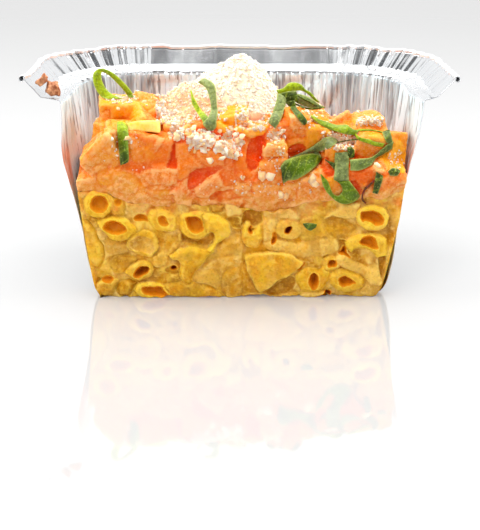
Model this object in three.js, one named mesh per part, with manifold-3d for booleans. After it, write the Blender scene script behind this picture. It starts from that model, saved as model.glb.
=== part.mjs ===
// Baked macaroni cheese in half of a square foil tray, under diced tomato, grated cheese and basil ribbons.
// Millimetres, +Z up, +X to the right of the cut face, +Y into the tray. The foil is cut at y = 0, and the
// food stands a few millimetres proud of that cut.
import * as THREE from "three";
import { mergeVertices } from "three/addons/utils/BufferGeometryUtils.js";
import Module from "manifold-3d";

const wasm = await Module();
wasm.setup();

// ---------------------------------------------------------------- driving dimensions
const FOLD_HALF = 50; // half the tray's width where the ledge folds up into the rim
const FOLD_RADIUS = 24; // plan radius of the corners there
const FOLD_HEIGHT = 53.3;
const RIM_LEAN = 4.4; // how far the rim leans out, from fold to hem
const RIM_RISE = 4.6;
const HEM_RADIUS = 0.85; // the rolled edge
const LEDGE_WIDTH = 4.6;
const LEDGE_DROP = 0.8; // the ledge tilts down towards the food
const SHOULDER_HEIGHT = 51.4;
const WALL_TOP_INSET = 5.2; // insets are measured inwards from the fold's outline
const WALL_FOOT_INSET = 10.6;
const WALL_FOOT_HEIGHT = 2.6;
const WALL_BULGE = 0.75; // below 1, the wall bows outwards
const WALL_BANDS = [18, 35]; // heights where the bowed wall changes slope
const BASE_INSET = 12.8;
const FOIL = 0.5; // sheet thickness
const PLEATS = 10; // folds round one corner
const PLEAT_DEPTH = 0.6;

const GAP = 0.3; // clearance between neighbouring pieces
const FOOD_INSET = FOIL + PLEAT_DEPTH + GAP; // the food keeps clear of foil and pleats
const FOOD_FLOOR = FOIL + GAP;
const FACE_Y = -4; // the cut face of the food
const FACE_RECESS = 1; // sauce and tomato cores lie this far behind the pieces at the face
const FRONT_LIMIT = FACE_Y - 1.6; // nothing in the layers stands further out
const FOOD_TOP = 64; // above every layer

const TUBE_RADIUS = 3.3; // elbow macaroni, cooked
const BORE_RADIUS = 2.05;
const BORE_DEPTH = 4.5;
const TUBE_LENGTH = 9;
const TUBE_SIDES = 12;

const DIE = 8.6; // edge of a tomato die
const DIE_STEP = 9.2; // spacing of the dice along the face
const TOP_STEP = 11.2; // and over the top
const CRUMB = 1.5; // a cheese crumb's radius

const CHEESE_CENTRE = [-3, 18];
const CHEESE_REACH = [23, 13]; // the heap's half-width and half-depth
const CHEESE_PEAK = [1, 18];
const CHEESE_RINGS = 7;
const CHEESE_SPOKES = 28;
const CHEESE_LUMP = 0.6; // how uneven the packed gratings are
const CRUMBS_BELOW = 14; // loose crumbs on the tomato
const CRUMBS_ON_TOP = 26; // and on the heap itself

const LEAF = 0.5; // thickness of a basil ribbon
const LEAF_STEPS = 6;

const SEED = 20;

// ---------------------------------------------------------------- helpers
function seededRandom(seed) {
  let state = seed;
  return () => {
    state = (state * 1664525 + 1013904223) % 4294967296;
    return state / 4294967296;
  };
}
const random = seededRandom(SEED);
const between = (low, high) => low + (high - low) * random();
const { lerp, clamp, degToRad } = THREE.MathUtils;
const bell = (x, y, x0, y0, sx, sy) => Math.exp(-(((x - x0) / sx) ** 2 + ((y - y0) / sy) ** 2) / 2);

// A closed geometry as a solid for cutting and joining, turned so that its faces point out.
function solid(geometry) {
  const bare = geometry.index ? geometry.toNonIndexed() : geometry;
  const points = new THREE.BufferGeometry().setAttribute("position", bare.getAttribute("position"));
  const merged = mergeVertices(points, 1e-4);
  const corners = [];
  for (let i = 0; i < merged.index.count; i += 3) {
    const [a, b, c] = merged.index.array.subarray(i, i + 3);
    if (a !== b && b !== c && c !== a) corners.push(a, b, c);
  }
  const build = (triangles) => {
    const vertProperties = new Float32Array(merged.attributes.position.array);
    return new wasm.Manifold(new wasm.Mesh({ numProp: 3, vertProperties, triVerts: new Uint32Array(triangles) }));
  };
  const made = build(corners);
  return made.volume() > 0 ? made : build(corners.toReversed());
}

// The largest body of a solid as a geometry: scraps cut loose are dropped, and sealed hollows are filled.
function geometryOf(body) {
  const largest = body.decompose().reduce((a, b) => (a.volume() > b.volume() ? a : b));
  const mesh = largest.getMesh();
  const position = new Float32Array(mesh.numVert * 3);
  for (let i = 0; i < mesh.numVert; i++) {
    const start = i * mesh.numProp;
    position.set(mesh.vertProperties.subarray(start, start + 3), i * 3);
  }
  const geometry = new THREE.BufferGeometry().setAttribute("position", new THREE.BufferAttribute(position, 3));
  geometry.setIndex(new THREE.BufferAttribute(mesh.triVerts, 1));
  geometry.computeVertexNormals();
  return geometry;
}

// A geometry from triangles of [x, y, z] corners, without those that have shrunk to a line.
function geometryFrom(triangles) {
  const same = (p, q) => Math.hypot(p[0] - q[0], p[1] - q[1], p[2] - q[2]) < 1e-6;
  const real = triangles.filter(([a, b, c]) => !same(a, b) && !same(b, c) && !same(c, a));
  return new THREE.BufferGeometry().setFromPoints(real.flat().map((p) => new THREE.Vector3(...p)));
}

const joined = (bodies) => wasm.Manifold.union(bodies);

function piece({ name, body, color, roughness = 0.5, metalness = 0 }) {
  const material = new THREE.MeshStandardMaterial({ color, roughness, metalness, flatShading: true });
  const mesh = new THREE.Mesh(geometryOf(body), material);
  mesh.name = name;
  return mesh;
}

// ---------------------------------------------------------------- the tray's plan
// Stations run round the fold's outline from the right cut end, past the back, to the left cut end. Each holds
// a point, the outward direction, and how far round its corner it is (0 on the straights).
function stations({ front, sideSteps, cornerSteps, backSteps }) {
  const straight = FOLD_HALF - FOLD_RADIUS;
  const right = [];
  for (let i = 0; i < sideSteps; i++) {
    right.push({ x: FOLD_HALF, y: lerp(front, straight, i / sideSteps), nx: 1, ny: 0, turn: 0 });
  }
  for (let i = 0; i <= cornerSteps; i++) {
    const angle = ((i / cornerSteps) * Math.PI) / 2;
    const [nx, ny] = [Math.cos(angle), Math.sin(angle)];
    right.push({ x: straight + FOLD_RADIUS * nx, y: straight + FOLD_RADIUS * ny, nx, ny, turn: i / cornerSteps });
  }
  for (let i = 1; i <= backSteps; i++) {
    right.push({ x: straight * (1 - i / backSteps), y: FOLD_HALF, nx: 0, ny: 1, turn: 0 });
  }
  const left = right.slice(0, -1).reverse();
  return [...right, ...left.map((s) => ({ ...s, x: -s.x, nx: -s.nx }))];
}

const inward = (s, inset) => [s.x - s.nx * inset, s.y - s.ny * inset];

function wallInset(z) {
  const rise = clamp((z - WALL_FOOT_HEIGHT) / (SHOULDER_HEIGHT - WALL_FOOT_HEIGHT), 0, 1);
  return lerp(WALL_FOOT_INSET, WALL_TOP_INSET, rise ** WALL_BULGE);
}

// A solid swept round the stations. Each row of points starts and ends on the middle line of the cut plane, so
// the sweep closes on itself, and the cut is capped flat.
function halfSweep(around, row) {
  const rows = around.map(row);
  const triangles = [];
  for (let i = 0; i + 1 < rows.length; i++) {
    for (let j = 0; j + 1 < rows[i].length; j++) {
      const [a, b, c, d] = [rows[i][j], rows[i + 1][j], rows[i + 1][j + 1], rows[i][j + 1]];
      triangles.push([a, b, c], [a, c, d]);
    }
  }
  const outline = [...rows[0], ...rows.at(-1).slice(1, -1).reverse()];
  const flat = outline.map(([x, , z]) => new THREE.Vector2(x, z));
  const turn = Math.sign(THREE.ShapeUtils.area(flat));
  for (const corners of THREE.ShapeUtils.triangulateShape(flat, [])) {
    const same = Math.sign(THREE.ShapeUtils.area(corners.map((k) => flat[k]))) === turn;
    const ordered = same ? corners : corners.toReversed();
    triangles.push(ordered.map((k) => outline[k]));
  }
  return solid(geometryFrom(triangles));
}

// ---------------------------------------------------------------- foil tray
// Folds gathered in the corners: a zigzag in the sheet, full at the rim and fading towards the base.
function pleat(station, z) {
  if (station.turn === 0 || station.turn === 1) return 0;
  const phase = station.turn * PLEATS;
  const zigzag = 4 * Math.abs(phase - Math.floor(phase + 0.5)) - 1;
  return zigzag * PLEAT_DEPTH * clamp(z / FOLD_HEIGHT, 0.25, 1);
}

// The sheet's profile as [inset, height], from the middle of the base up the inside, round the hem and back.
function trayProfile() {
  const rimTop = FOLD_HEIGHT + RIM_RISE;
  const inside = [
    [BASE_INSET + FOIL, FOIL],
    [WALL_FOOT_INSET + FOIL, WALL_FOOT_HEIGHT],
    ...WALL_BANDS.map((z) => [wallInset(z) + FOIL, z]),
    [WALL_TOP_INSET + FOIL, SHOULDER_HEIGHT],
    [LEDGE_WIDTH, FOLD_HEIGHT - LEDGE_DROP + FOIL / 2],
    [FOIL / 2, FOLD_HEIGHT + FOIL / 2],
    [FOIL / 2 - RIM_LEAN, rimTop],
  ];
  const hem = [115, 60, 15, -30, -75, -120].map((degrees) => {
    const angle = degToRad(degrees);
    return [-RIM_LEAN - HEM_RADIUS * (0.5 + Math.cos(angle)), rimTop + HEM_RADIUS * Math.sin(angle)];
  });
  const outside = [
    [FOIL - RIM_LEAN, rimTop - 3 * FOIL],
    [-FOIL / 2, FOLD_HEIGHT - FOIL / 2],
    [LEDGE_WIDTH - FOIL / 2, FOLD_HEIGHT - LEDGE_DROP - FOIL / 2],
    [WALL_TOP_INSET, SHOULDER_HEIGHT],
    ...WALL_BANDS.toReversed().map((z) => [wallInset(z), z]),
    [WALL_FOOT_INSET, WALL_FOOT_HEIGHT],
    [BASE_INSET, 0],
  ];
  return [...inside, ...hem, ...outside];
}

function foilTray() {
  const profile = trayProfile();
  const around = stations({ front: 0, sideSteps: 2, cornerSteps: 2 * PLEATS, backSteps: 2 });
  return halfSweep(around, (s) => {
    const points = profile.map(([inset, z]) => [...inward(s, inset + pleat(s, z)), z]);
    return [[0, 0, FOIL], ...points, [0, 0, 0]];
  });
}

// ---------------------------------------------------------------- the room for food
// What fits inside the tray with clearance, from one height to another, cut flat at the given front.
function room({ front, bottom, top }) {
  const levels = [bottom, WALL_FOOT_HEIGHT + FOIL, ...WALL_BANDS, SHOULDER_HEIGHT, top];
  const used = levels.filter((z) => z >= bottom && z <= top).sort((a, b) => a - b);
  const footInset = (z) => (z < WALL_FOOT_HEIGHT ? (BASE_INSET - WALL_FOOT_INSET) / 2 : 0);
  const around = stations({ front, sideSteps: 3, cornerSteps: 8, backSteps: 3 });
  return halfSweep(around, (s) => {
    const points = used.map((z) => [...inward(s, wallInset(z) + FOOD_INSET + footInset(z)), z]);
    return [[0, front, bottom], ...points, [0, front, top]];
  });
}

// A solid below a surface z = height(x, y), over a grid that spans the whole tray.
function below(height, columns = 14, rows = 9) {
  const [x0, x1, y0, y1, low] = [-FOLD_HALF, FOLD_HALF, FRONT_LIMIT - 2, FOLD_HALF, -5];
  const at = (i, j, floor) => {
    const [x, y] = [lerp(x0, x1, i / columns), lerp(y0, y1, j / rows)];
    return [x, y, floor ? low : height(x, y)];
  };
  const triangles = [];
  const quad = (a, b, c, d) => triangles.push([a, b, c], [a, c, d]);
  for (let i = 0; i < columns; i++) {
    for (let j = 0; j < rows; j++) {
      quad(at(i, j), at(i + 1, j), at(i + 1, j + 1), at(i, j + 1));
      quad(at(i, j, true), at(i, j + 1, true), at(i + 1, j + 1, true), at(i + 1, j, true));
    }
  }
  for (let i = 0; i < columns; i++) {
    quad(at(i, 0, true), at(i + 1, 0, true), at(i + 1, 0), at(i, 0));
    quad(at(i + 1, rows, true), at(i, rows, true), at(i, rows), at(i + 1, rows));
  }
  for (let j = 0; j < rows; j++) {
    quad(at(columns, j, true), at(columns, j + 1, true), at(columns, j + 1), at(columns, j));
    quad(at(0, j + 1, true), at(0, j, true), at(0, j), at(0, j + 1));
  }
  return solid(geometryFrom(triangles));
}

// The seam between pasta and tomato climbs towards both walls.
const seam = (x) => 25.2 + 4.4 * (x / 42) ** 2 - 0.5 * Math.sin(x / 5);
const belowSeam = (offset) => below((x) => seam(x) + offset, 24, 1);

// The tomato heap before its dice: a mound behind the cut face, with a shoulder at each side.
function heap(x, y) {
  const mound = 15 * bell(x, y, -2, 15, 21, 12);
  const leftShoulder = 10.5 * bell(x, y, -29, 10, 9, 9);
  const rightShoulder = 6.5 * bell(x, y, 34, 8, 11, 12);
  return 32 + mound + leftShoulder + rightShoulder;
}

// ---------------------------------------------------------------- macaroni
// A round bar along a path of points.
function bar(path, radius) {
  const curve = new THREE.CatmullRomCurve3(path.map((p) => new THREE.Vector3(...p)));
  const circle = new THREE.Shape(
    Array.from({ length: TUBE_SIDES }, (_, i) => {
      const angle = (i / TUBE_SIDES) * 2 * Math.PI;
      return new THREE.Vector2(radius * Math.cos(angle), radius * Math.sin(angle));
    }),
  );
  const steps = path.length === 2 ? 1 : 3 * (path.length - 1);
  return solid(new THREE.ExtrudeGeometry(circle, { extrudePath: curve, steps }));
}

// Pieces whose mouth shows at the face: [x, z, turned right, turned up, radius], angles in degrees.
const MOUTHS = [
  [-36.8, 26.0, -6, 8, 3.4],
  [-31.4, 25.0, 14, 0, 2.3],
  [-32.9, 19.4, 10, 24, 3.4],
  [-26.2, 21.2, -12, 20, 2.7],
  [-20.4, 21.3, 8, 10, 3.2],
  [-26.0, 14.6, 0, 0, 3.6],
  [-26.2, 7.8, 28, 12, 3.1],
  [-35.4, 5.4, 20, 25, 3.0],
  [-21.2, 3.9, 30, 20, 3.1],
  [12.4, 19.0, -10, 0, 3.2],
  [34.3, 22.4, -16, 4, 3.6],
  [34.4, 15.4, 16, 22, 3.4],
  [24.7, 10.0, 24, 12, 2.3],
  [19.4, 4.7, -12, 0, 3.7],
  [28.0, 4.8, 22, 10, 3.8],
];

// Pieces that lie along the face or curl out of it, each a path of points; a mouth shows at the first point.
const LYING = [
  { path: [[-38.6, -1.8, 21.6], [-38.0, -1.6, 15.0], [-36.4, -1.2, 8.8]], radius: 3.0 },
  { path: [[-14.2, -3.9, 20.6], [-9.4, -1.2, 20.9], [-5.4, -1.4, 18.6], [-4.0, -0.6, 13.0]], radius: 3.4, mouth: true },
  { path: [[-14.6, -0.6, 12.4], [-11.4, -2.0, 9.0], [-12.6, -0.8, 4.8]], radius: 3.5 },
  { path: [[5.6, -3.4, 17.6], [2.2, -2.4, 20.0], [-0.6, -1.6, 16.6], [2.4, -0.8, 11.6]], radius: 3.0 },
  { path: [[17.4, -1.2, 10.6], [10.4, -1.6, 8.8], [3.4, -0.8, 6.2]], radius: 3.9 },
  { path: [[6.4, -0.6, 14.4], [17.6, -1.4, 15.2], [29.4, -0.8, 15.6]], radius: 2.7 },
  { path: [[-17.6, -1.4, 3.6], [-6.0, -0.6, 4.2]], radius: 2.7 },
  { path: [[38.0, -1.0, 8.0], [32.0, -1.6, 10.4]], radius: 2.8 },
  { path: [[17.0, -1.2, 22.6], [26.0, -1.4, 21.4]], radius: 2.8 },
];

function mouthPath([x, z, turned, raised]) {
  const heading = new THREE.Vector3(0, TUBE_LENGTH, 0);
  heading.applyEuler(new THREE.Euler(degToRad(-raised), 0, degToRad(turned), "ZYX"));
  const start = new THREE.Vector3(x, FACE_Y, z);
  return [start.toArray(), start.clone().add(heading).toArray()];
}

// The bore of a piece starts just in front of its mouth and runs a few millimetres in.
function bore(path, radius) {
  const [mouth, next] = path.map((p) => new THREE.Vector3(...p));
  const heading = next.clone().sub(mouth).normalize();
  const from = mouth.clone().addScaledVector(heading, -3);
  const to = mouth.clone().addScaledVector(heading, BORE_DEPTH);
  return bar([from.toArray(), to.toArray()], (radius * BORE_RADIUS) / TUBE_RADIUS);
}

function pastaLayer(cuts) {
  const core = room({ front: FACE_Y + FACE_RECESS, bottom: FOOD_FLOOR, top: 32 });
  const limits = room({ front: FRONT_LIMIT, bottom: FOOD_FLOOR, top: 32 });
  const ends = MOUTHS.map((m) => ({ path: mouthPath(m), radius: m[4], mouth: true }));
  const pieces = [...ends, ...LYING];
  const bars = pieces.map(({ path, radius }) => bar(path, radius));
  const bores = pieces.filter((p) => p.mouth).map(({ path, radius }) => bore(path, radius));
  const full = joined([core, ...bars]).intersect(limits).intersect(belowSeam(-GAP / 2));
  return full.subtract(joined([...bores, ...cuts]));
}

// ---------------------------------------------------------------- tomato
// A soft-cornered die: a cube whose edges and corners are drawn in.
function softCube(size) {
  const geometry = new THREE.BoxGeometry(1, 1, 1, 2, 2, 2);
  const position = geometry.attributes.position;
  const point = new THREE.Vector3();
  for (let i = 0; i < position.count; i++) {
    point.fromBufferAttribute(position, i);
    const outer = [point.x, point.y, point.z].filter((v) => Math.abs(v) > 0.4).length;
    point.multiplyScalar([1, 1, 0.93, 0.86][outer]);
    position.setXYZ(i, point.x, point.y, point.z);
  }
  return geometry.scale(...size);
}

function placed(geometry, [x, y, z], [rx, ry, rz]) {
  const turn = new THREE.Euler(degToRad(rx), degToRad(ry), degToRad(rz));
  const matrix = new THREE.Matrix4().makeRotationFromEuler(turn).setPosition(x, y, z);
  return solid(geometry.applyMatrix4(matrix));
}

const dieSize = () => [0, 1, 2].map(() => DIE * between(0.8, 1.12));
const tumble = (most) => [0, 1, 2].map(() => between(-most, most));

// Dice that stand highest: place and turn.
const LANDMARK_DICE = [
  [[-31.0, 11.5, 46.4], [8, 6, 14]],
  [[-35.2, 9.0, 42.0], [0, 10, -12]],
  [[-31.6, 4.6, 40.2], [14, -8, 6]],
  [[28.4, 9.5, 38.6], [6, -14, 20]],
  [[36.4, 11.0, 38.4], [-6, 8, 35]],
  [[19.0, 7.6, 42.4], [20, 10, 10]],
];

// Dice over the whole heap: a row or two up the cut face, then one to each cell of a grid over the top.
function tomatoDice() {
  const dice = LANDMARK_DICE.map(([at, turn]) => placed(softCube([DIE, DIE, DIE]), at, turn));
  const across = Math.floor(76 / DIE_STEP);
  for (let i = 0; i <= across; i++) {
    const x = lerp(-37, 37, i / across);
    const rows = heap(x, FACE_Y) > 36 ? [31.5, 38] : [31.5];
    for (const z of rows) {
      const at = [x + between(-1.5, 1.5), FACE_Y + 0.5 * DIE - between(0, 0.8), z + between(-1, 1)];
      dice.push(placed(softCube(dieSize()), at, tumble(22)));
    }
  }
  const topAcross = Math.floor(76 / TOP_STEP);
  for (let y = 4.5; y < 44; y += TOP_STEP) {
    for (let i = 0; i <= topAcross; i++) {
      const x = lerp(-38, 38, i / topAcross) + between(-2, 2);
      const [dx, dy] = [(x - CHEESE_CENTRE[0]) / CHEESE_REACH[0], (y - CHEESE_CENTRE[1]) / CHEESE_REACH[1]];
      const die = softCube(dieSize());
      const turn = tumble(35);
      if (Math.hypot(dx, dy) > 0.9) dice.push(placed(die, [x, y, heap(x, y) - between(1.2, 2.6)], turn));
    }
  }
  return dice;
}

function crumb(at) {
  const lump = new THREE.OctahedronGeometry(CRUMB * between(0.7, 1.2)).scale(1, 0.9, 0.75);
  return placed(lump, at, tumble(60));
}

// Crumbs of cheese scattered on the front of the heap, thickest below the cheese.
function scatteredCrumbs() {
  return Array.from({ length: CRUMBS_BELOW }, () => {
    const x = clamp(-6 + 16 * (random() + random() + random() - 1.5), -34, 38);
    const y = between(-1, 9);
    return crumb([x, y, heap(x, y) + 1.1]);
  });
}

function tomatoLayer(cuts) {
  const core = room({ front: FACE_Y + FACE_RECESS, bottom: 20, top: FOOD_TOP }).intersect(below(heap));
  const limits = room({ front: FRONT_LIMIT, bottom: 20, top: FOOD_TOP });
  const onTop = joined([...tomatoDice(), ...scatteredCrumbs()]).subtract(cheeseColumn(1.5 * GAP));
  return joined([core, onTop]).intersect(limits).subtract(joined([belowSeam(GAP / 2), ...cuts]));
}

// ---------------------------------------------------------------- cheese
const cheeseEdge = (angle) => 1 + 0.07 * Math.sin(3 * angle + 1) + 0.05 * Math.sin(5 * angle);

// A point of the heap in plan: its peak at share 0, its edge at share 1.
function cheesePoint(angle, share, grow = 0) {
  const [reachX, reachY] = CHEESE_REACH.map((reach) => reach * cheeseEdge(angle) + grow);
  const edge = [CHEESE_CENTRE[0] + reachX * Math.cos(angle), CHEESE_CENTRE[1] + reachY * Math.sin(angle)];
  return edge.map((value, axis) => lerp(CHEESE_PEAK[axis], value, share));
}

// The upright column over the cheese's footprint, widened by a clearance.
function cheeseColumn(grow) {
  const angles = Array.from({ length: CHEESE_SPOKES }, (_, i) => (i / CHEESE_SPOKES) * 2 * Math.PI);
  const outline = new THREE.Shape(angles.map((angle) => new THREE.Vector2(...cheesePoint(angle, 1, grow))));
  return solid(new THREE.ExtrudeGeometry(outline, { depth: FOOD_TOP, bevelEnabled: false }));
}

function cheeseTop(x, y) {
  const peak = 15.5 * bell(x, y, 1, 18, 6.5, 7.5);
  const leftShoulder = 6.5 * bell(x, y, -14, 17, 7, 8);
  return 44 + peak + leftShoulder + 2 * bell(x, y, 12, 16, 6, 8);
}

function cheeseHeap(cuts) {
  const ring = (share, spoke) => {
    const [x, y] = cheesePoint((spoke / CHEESE_SPOKES) * 2 * Math.PI, share);
    return [x, y, cheeseTop(x, y) + between(-CHEESE_LUMP, CHEESE_LUMP)];
  };
  const rings = [];
  for (let i = 1; i <= CHEESE_RINGS; i++) {
    rings.push(Array.from({ length: CHEESE_SPOKES }, (_, spoke) => ring(i / CHEESE_RINGS, spoke)));
  }
  const top = [...CHEESE_PEAK, cheeseTop(...CHEESE_PEAK)];
  const foot = [...CHEESE_PEAK, 20];
  const skirt = rings.at(-1).map(([x, y]) => [x, y, 20]);
  const levels = [Array(CHEESE_SPOKES).fill(top), ...rings, skirt, Array(CHEESE_SPOKES).fill(foot)];
  const triangles = [];
  for (let i = 0; i + 1 < levels.length; i++) {
    for (let j = 0; j < CHEESE_SPOKES; j++) {
      const k = (j + 1) % CHEESE_SPOKES;
      const [a, b, c, d] = [levels[i][j], levels[i + 1][j], levels[i + 1][k], levels[i][k]];
      triangles.push([a, b, c], [a, c, d]);
    }
  }
  const crumbs = Array.from({ length: CRUMBS_ON_TOP }, () => {
    const [x, y] = cheesePoint(between(0, 2 * Math.PI), Math.sqrt(random()) * 0.92);
    return crumb([x, y, cheeseTop(x, y) + 0.5 * CRUMB]);
  });
  const mound = joined([solid(geometryFrom(triangles)), ...crumbs]).intersect(cheeseColumn(0));
  return mound.subtract(joined([below((x, y) => heap(x, y) + GAP), ...cuts]));
}

// ---------------------------------------------------------------- basil
// A ribbon of leaf along a path. `across` is the direction of its width, and `cup` curls its edges.
function ribbon({ path, width, across, cup = 0.4, grow = 0 }) {
  const curve = new THREE.CatmullRomCurve3(path.map((p) => new THREE.Vector3(...p)));
  const side = new THREE.Vector3(...across);
  const half = LEAF / 2 + grow;
  const sections = [];
  for (let i = 0; i <= LEAF_STEPS; i++) {
    const t = i / LEAF_STEPS;
    const point = curve.getPoint(t);
    const along = curve.getTangent(t);
    const flat = side.clone().addScaledVector(along, -side.dot(along)).normalize();
    const normal = flat.clone().cross(along);
    const taper = 0.55 + 0.45 * Math.sin(Math.PI * clamp(t, 0.12, 0.88));
    const reach = (width / 2) * taper + grow;
    if (i === 0) point.addScaledVector(along, -grow);
    if (i === LEAF_STEPS) point.addScaledVector(along, grow);
    const at = (u, v) =>
      point.clone().addScaledVector(flat, u * reach).addScaledVector(normal, v * half + cup * u * u).toArray();
    sections.push([at(-1, -1), at(0, -1), at(1, -1), at(1, 1), at(0, 1), at(-1, 1)]);
  }
  const triangles = [];
  const sides = sections[0].length;
  for (let i = 0; i < LEAF_STEPS; i++) {
    for (let j = 0; j < sides; j++) {
      const k = (j + 1) % sides;
      const [a, b, c, d] = [sections[i][j], sections[i][k], sections[i + 1][k], sections[i + 1][j]];
      // Both faces are split along the same diagonal.
      if (j < 3) triangles.push([a, b, c], [a, c, d]);
      else triangles.push([a, b, d], [b, c, d]);
    }
  }
  const cap = ([a, b, c, d, e, f]) => [[a, f, b], [b, f, e], [b, e, c], [c, e, d]];
  triangles.push(...cap(sections[0]));
  triangles.push(...cap(sections.at(-1)).map((t) => t.toReversed()));
  return solid(geometryFrom(triangles));
}

const FLAT_ON = [1, 0, 0]; // width runs across the face
const UPRIGHT = [0, 0.5, 1]; // width leans back up the heap
const ON_EDGE = [0, 1, 0.3]; // width runs into the heap

const BASIL = {
  basil_loop: {
    path: [[-32.8, 10, 51.6], [-37.4, 10, 52.4], [-38.4, 10.5, 56.2], [-35.6, 11, 57.6], [-31.4, 11.5, 54.6],
      [-27.8, 12, 51.6]],
    width: 2.6,
    across: ON_EDGE,
  },
  basil_front: { path: [[-32.0, 1.2, 46.6], [-31.2, -2.0, 43.2], [-30.5, -4.4, 38.0]], width: 3.2, across: FLAT_ON },
  basil_vee: {
    path: [[-13.6, 9.4, 53.6], [-11.4, 4.6, 49.6], [-9.2, 2.6, 45.6], [-7.6, 3.0, 48.8], [-8.2, 8.0, 54.6]],
    width: 2.2,
    across: FLAT_ON,
  },
  basil_crown_left: { path: [[10.8, 8.4, 53.2], [9.4, 5.6, 49.6], [7.8, 3.8, 46.4]], width: 3.2, across: FLAT_ON },
  basil_crown_right: { path: [[11.8, 7.6, 51.0], [14.2, 7.0, 48.4], [16.6, 6.4, 45.6]], width: 2.2, across: FLAT_ON },
  basil_crown_arc: {
    path: [[9.6, 12.4, 54.2], [12.8, 12.6, 55.2], [17.2, 13.0, 53.2], [21.6, 13.4, 50.2]],
    width: 2.8,
    across: ON_EDGE,
  },
  basil_crown_leaf: { path: [[13.6, 10.0, 51.8], [17.4, 10.2, 50.6], [21.4, 10.4, 49.0]], width: 3.4, across: UPRIGHT },
  basil_fork: { path: [[18.4, 8.4, 47.4], [24.0, 6.0, 44.8], [30.6, 5.0, 43.6]], width: 2.2, across: UPRIGHT },
  basil_fork_tip: { path: [[31.8, 4.6, 43.2], [34.8, 2.6, 41.8], [37.8, 1.6, 40.8]], width: 1.4, across: UPRIGHT },
  basil_wide: { path: [[11.2, -5.0, 34.6], [15.0, -5.2, 36.4], [19.8, -4.0, 38.6]], width: 5.0, across: [-0.4, 0, 1] },
  basil_pale: { path: [[18.6, -1.6, 40.2], [23.6, 0.2, 42.0], [30.0, 0.6, 42.2]], width: 2.2, across: UPRIGHT },
  basil_drop: { path: [[26.2, -1.4, 40.2], [26.0, -4.6, 37.0], [26.2, -5.4, 33.2]], width: 3.2, across: FLAT_ON },
  basil_hook: {
    path: [[20.8, -5.2, 34.0], [22.2, -5.4, 29.6], [26.2, -5.6, 27.6], [29.2, -5.4, 30.4]],
    width: 3.2,
    across: [0, 0, 1],
  },
  basil_sweep: {
    path: [[28.8, -5.2, 36.2], [33.6, -4.8, 37.4], [37.6, -1.6, 39.4], [39.6, 2.8, 42.0]],
    width: 2.6,
    across: UPRIGHT,
  },
  basil_chip: { path: [[35.6, -5.0, 34.4], [35.2, -5.2, 31.8], [34.8, -5.0, 29.4]], width: 2.0, across: FLAT_ON },
  basil_chip_right: { path: [[37.4, -5.0, 34.4], [40.0, -4.8, 35.2]], width: 1.8, across: [0, 0, 1] },
  basil_chip_pasta: { path: [[16.4, -4.9, 20.4], [18.2, -5.0, 19.8], [20.0, -4.9, 20.3]], width: 1.7, across: [0, 0, 1] },
};

// ---------------------------------------------------------------- trimmings
const PEPPER = { at: [-25.4, 1.2, 45.2], turn: [-20, 14, 4], size: [8.6, 4.0, 3.6] };

const SCRAPS = {
  tomato_scrap_ledge: { at: [-47.9, 2.4, 55.2], turn: [10, 6, 20], size: [3.6, 2.6, 2.2] },
  tomato_scrap_rim: { at: [-50.9, 2.2, 57.2], turn: [0, -40, 10], size: [2.6, 2.0, 1.6] },
};

function lump({ at, turn, size }, grow = 0) {
  return placed(softCube(size.map((edge) => edge + 2 * grow)), at, turn);
}

// ---------------------------------------------------------------- assembly
const basilRoom = Object.values(BASIL).map((leaf) => ribbon({ ...leaf, grow: GAP }));
const pepperRoom = lump(PEPPER, GAP);

const part = new THREE.Group();
part.add(
  piece({ name: "foil_tray", body: foilTray(), color: "#c9ccd0", roughness: 0.3, metalness: 1 }),
  piece({ name: "pasta_layer", body: pastaLayer(basilRoom), color: "#f2b93c" }),
  piece({ name: "tomato_layer", body: tomatoLayer([...basilRoom, pepperRoom]), color: "#f2662a", roughness: 0.3 }),
  piece({ name: "cheese_heap", body: cheeseHeap(basilRoom), color: "#fbeed6", roughness: 0.8 }),
  piece({ name: "yellow_pepper_piece", body: lump(PEPPER), color: "#ffcf45", roughness: 0.3 }),
);
for (const [name, leaf] of Object.entries(BASIL)) {
  part.add(piece({ name, body: ribbon(leaf), color: "#5b8f1e" }));
}
for (const [name, scrap] of Object.entries(SCRAPS)) {
  part.add(piece({ name, body: lump(scrap), color: "#c86a35" }));
}

// The origin is the middle of the bounding box at the base.
const centre = new THREE.Box3().setFromObject(part).getCenter(new THREE.Vector3());
part.position.set(-centre.x, -centre.y, 0);

export default part;
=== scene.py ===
"""Looks of baked macaroni cheese in half a cut foil tray: foil, macaroni in sauce, tomato, cheese and
basil."""

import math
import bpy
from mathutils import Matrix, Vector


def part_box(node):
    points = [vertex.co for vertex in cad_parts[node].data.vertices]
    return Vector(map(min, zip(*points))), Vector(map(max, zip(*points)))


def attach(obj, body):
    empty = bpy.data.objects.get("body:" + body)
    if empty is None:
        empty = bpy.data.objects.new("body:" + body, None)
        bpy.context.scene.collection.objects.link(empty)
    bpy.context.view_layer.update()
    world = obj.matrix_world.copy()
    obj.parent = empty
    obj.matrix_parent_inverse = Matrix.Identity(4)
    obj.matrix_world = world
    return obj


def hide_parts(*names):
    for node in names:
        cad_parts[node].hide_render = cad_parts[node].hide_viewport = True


bl_info = {
    "name": "Macaroni Cheese in a Cut Foil Tray",
    "version": (1, 0, 0),
    "blender": (4, 5, 0),
    "location": "View3D > Sidebar > Macaroni",
    "description": "Builds the tray, the layers of food, the garnish and a studio round the packed frame",
    "category": "Object",
}

import bmesh
import bpy
import numpy as np
from bpy.props import FloatProperty, FloatVectorProperty, IntProperty, PointerProperty
from mathutils import Vector
from mathutils.bvhtree import BVHTree

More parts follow.
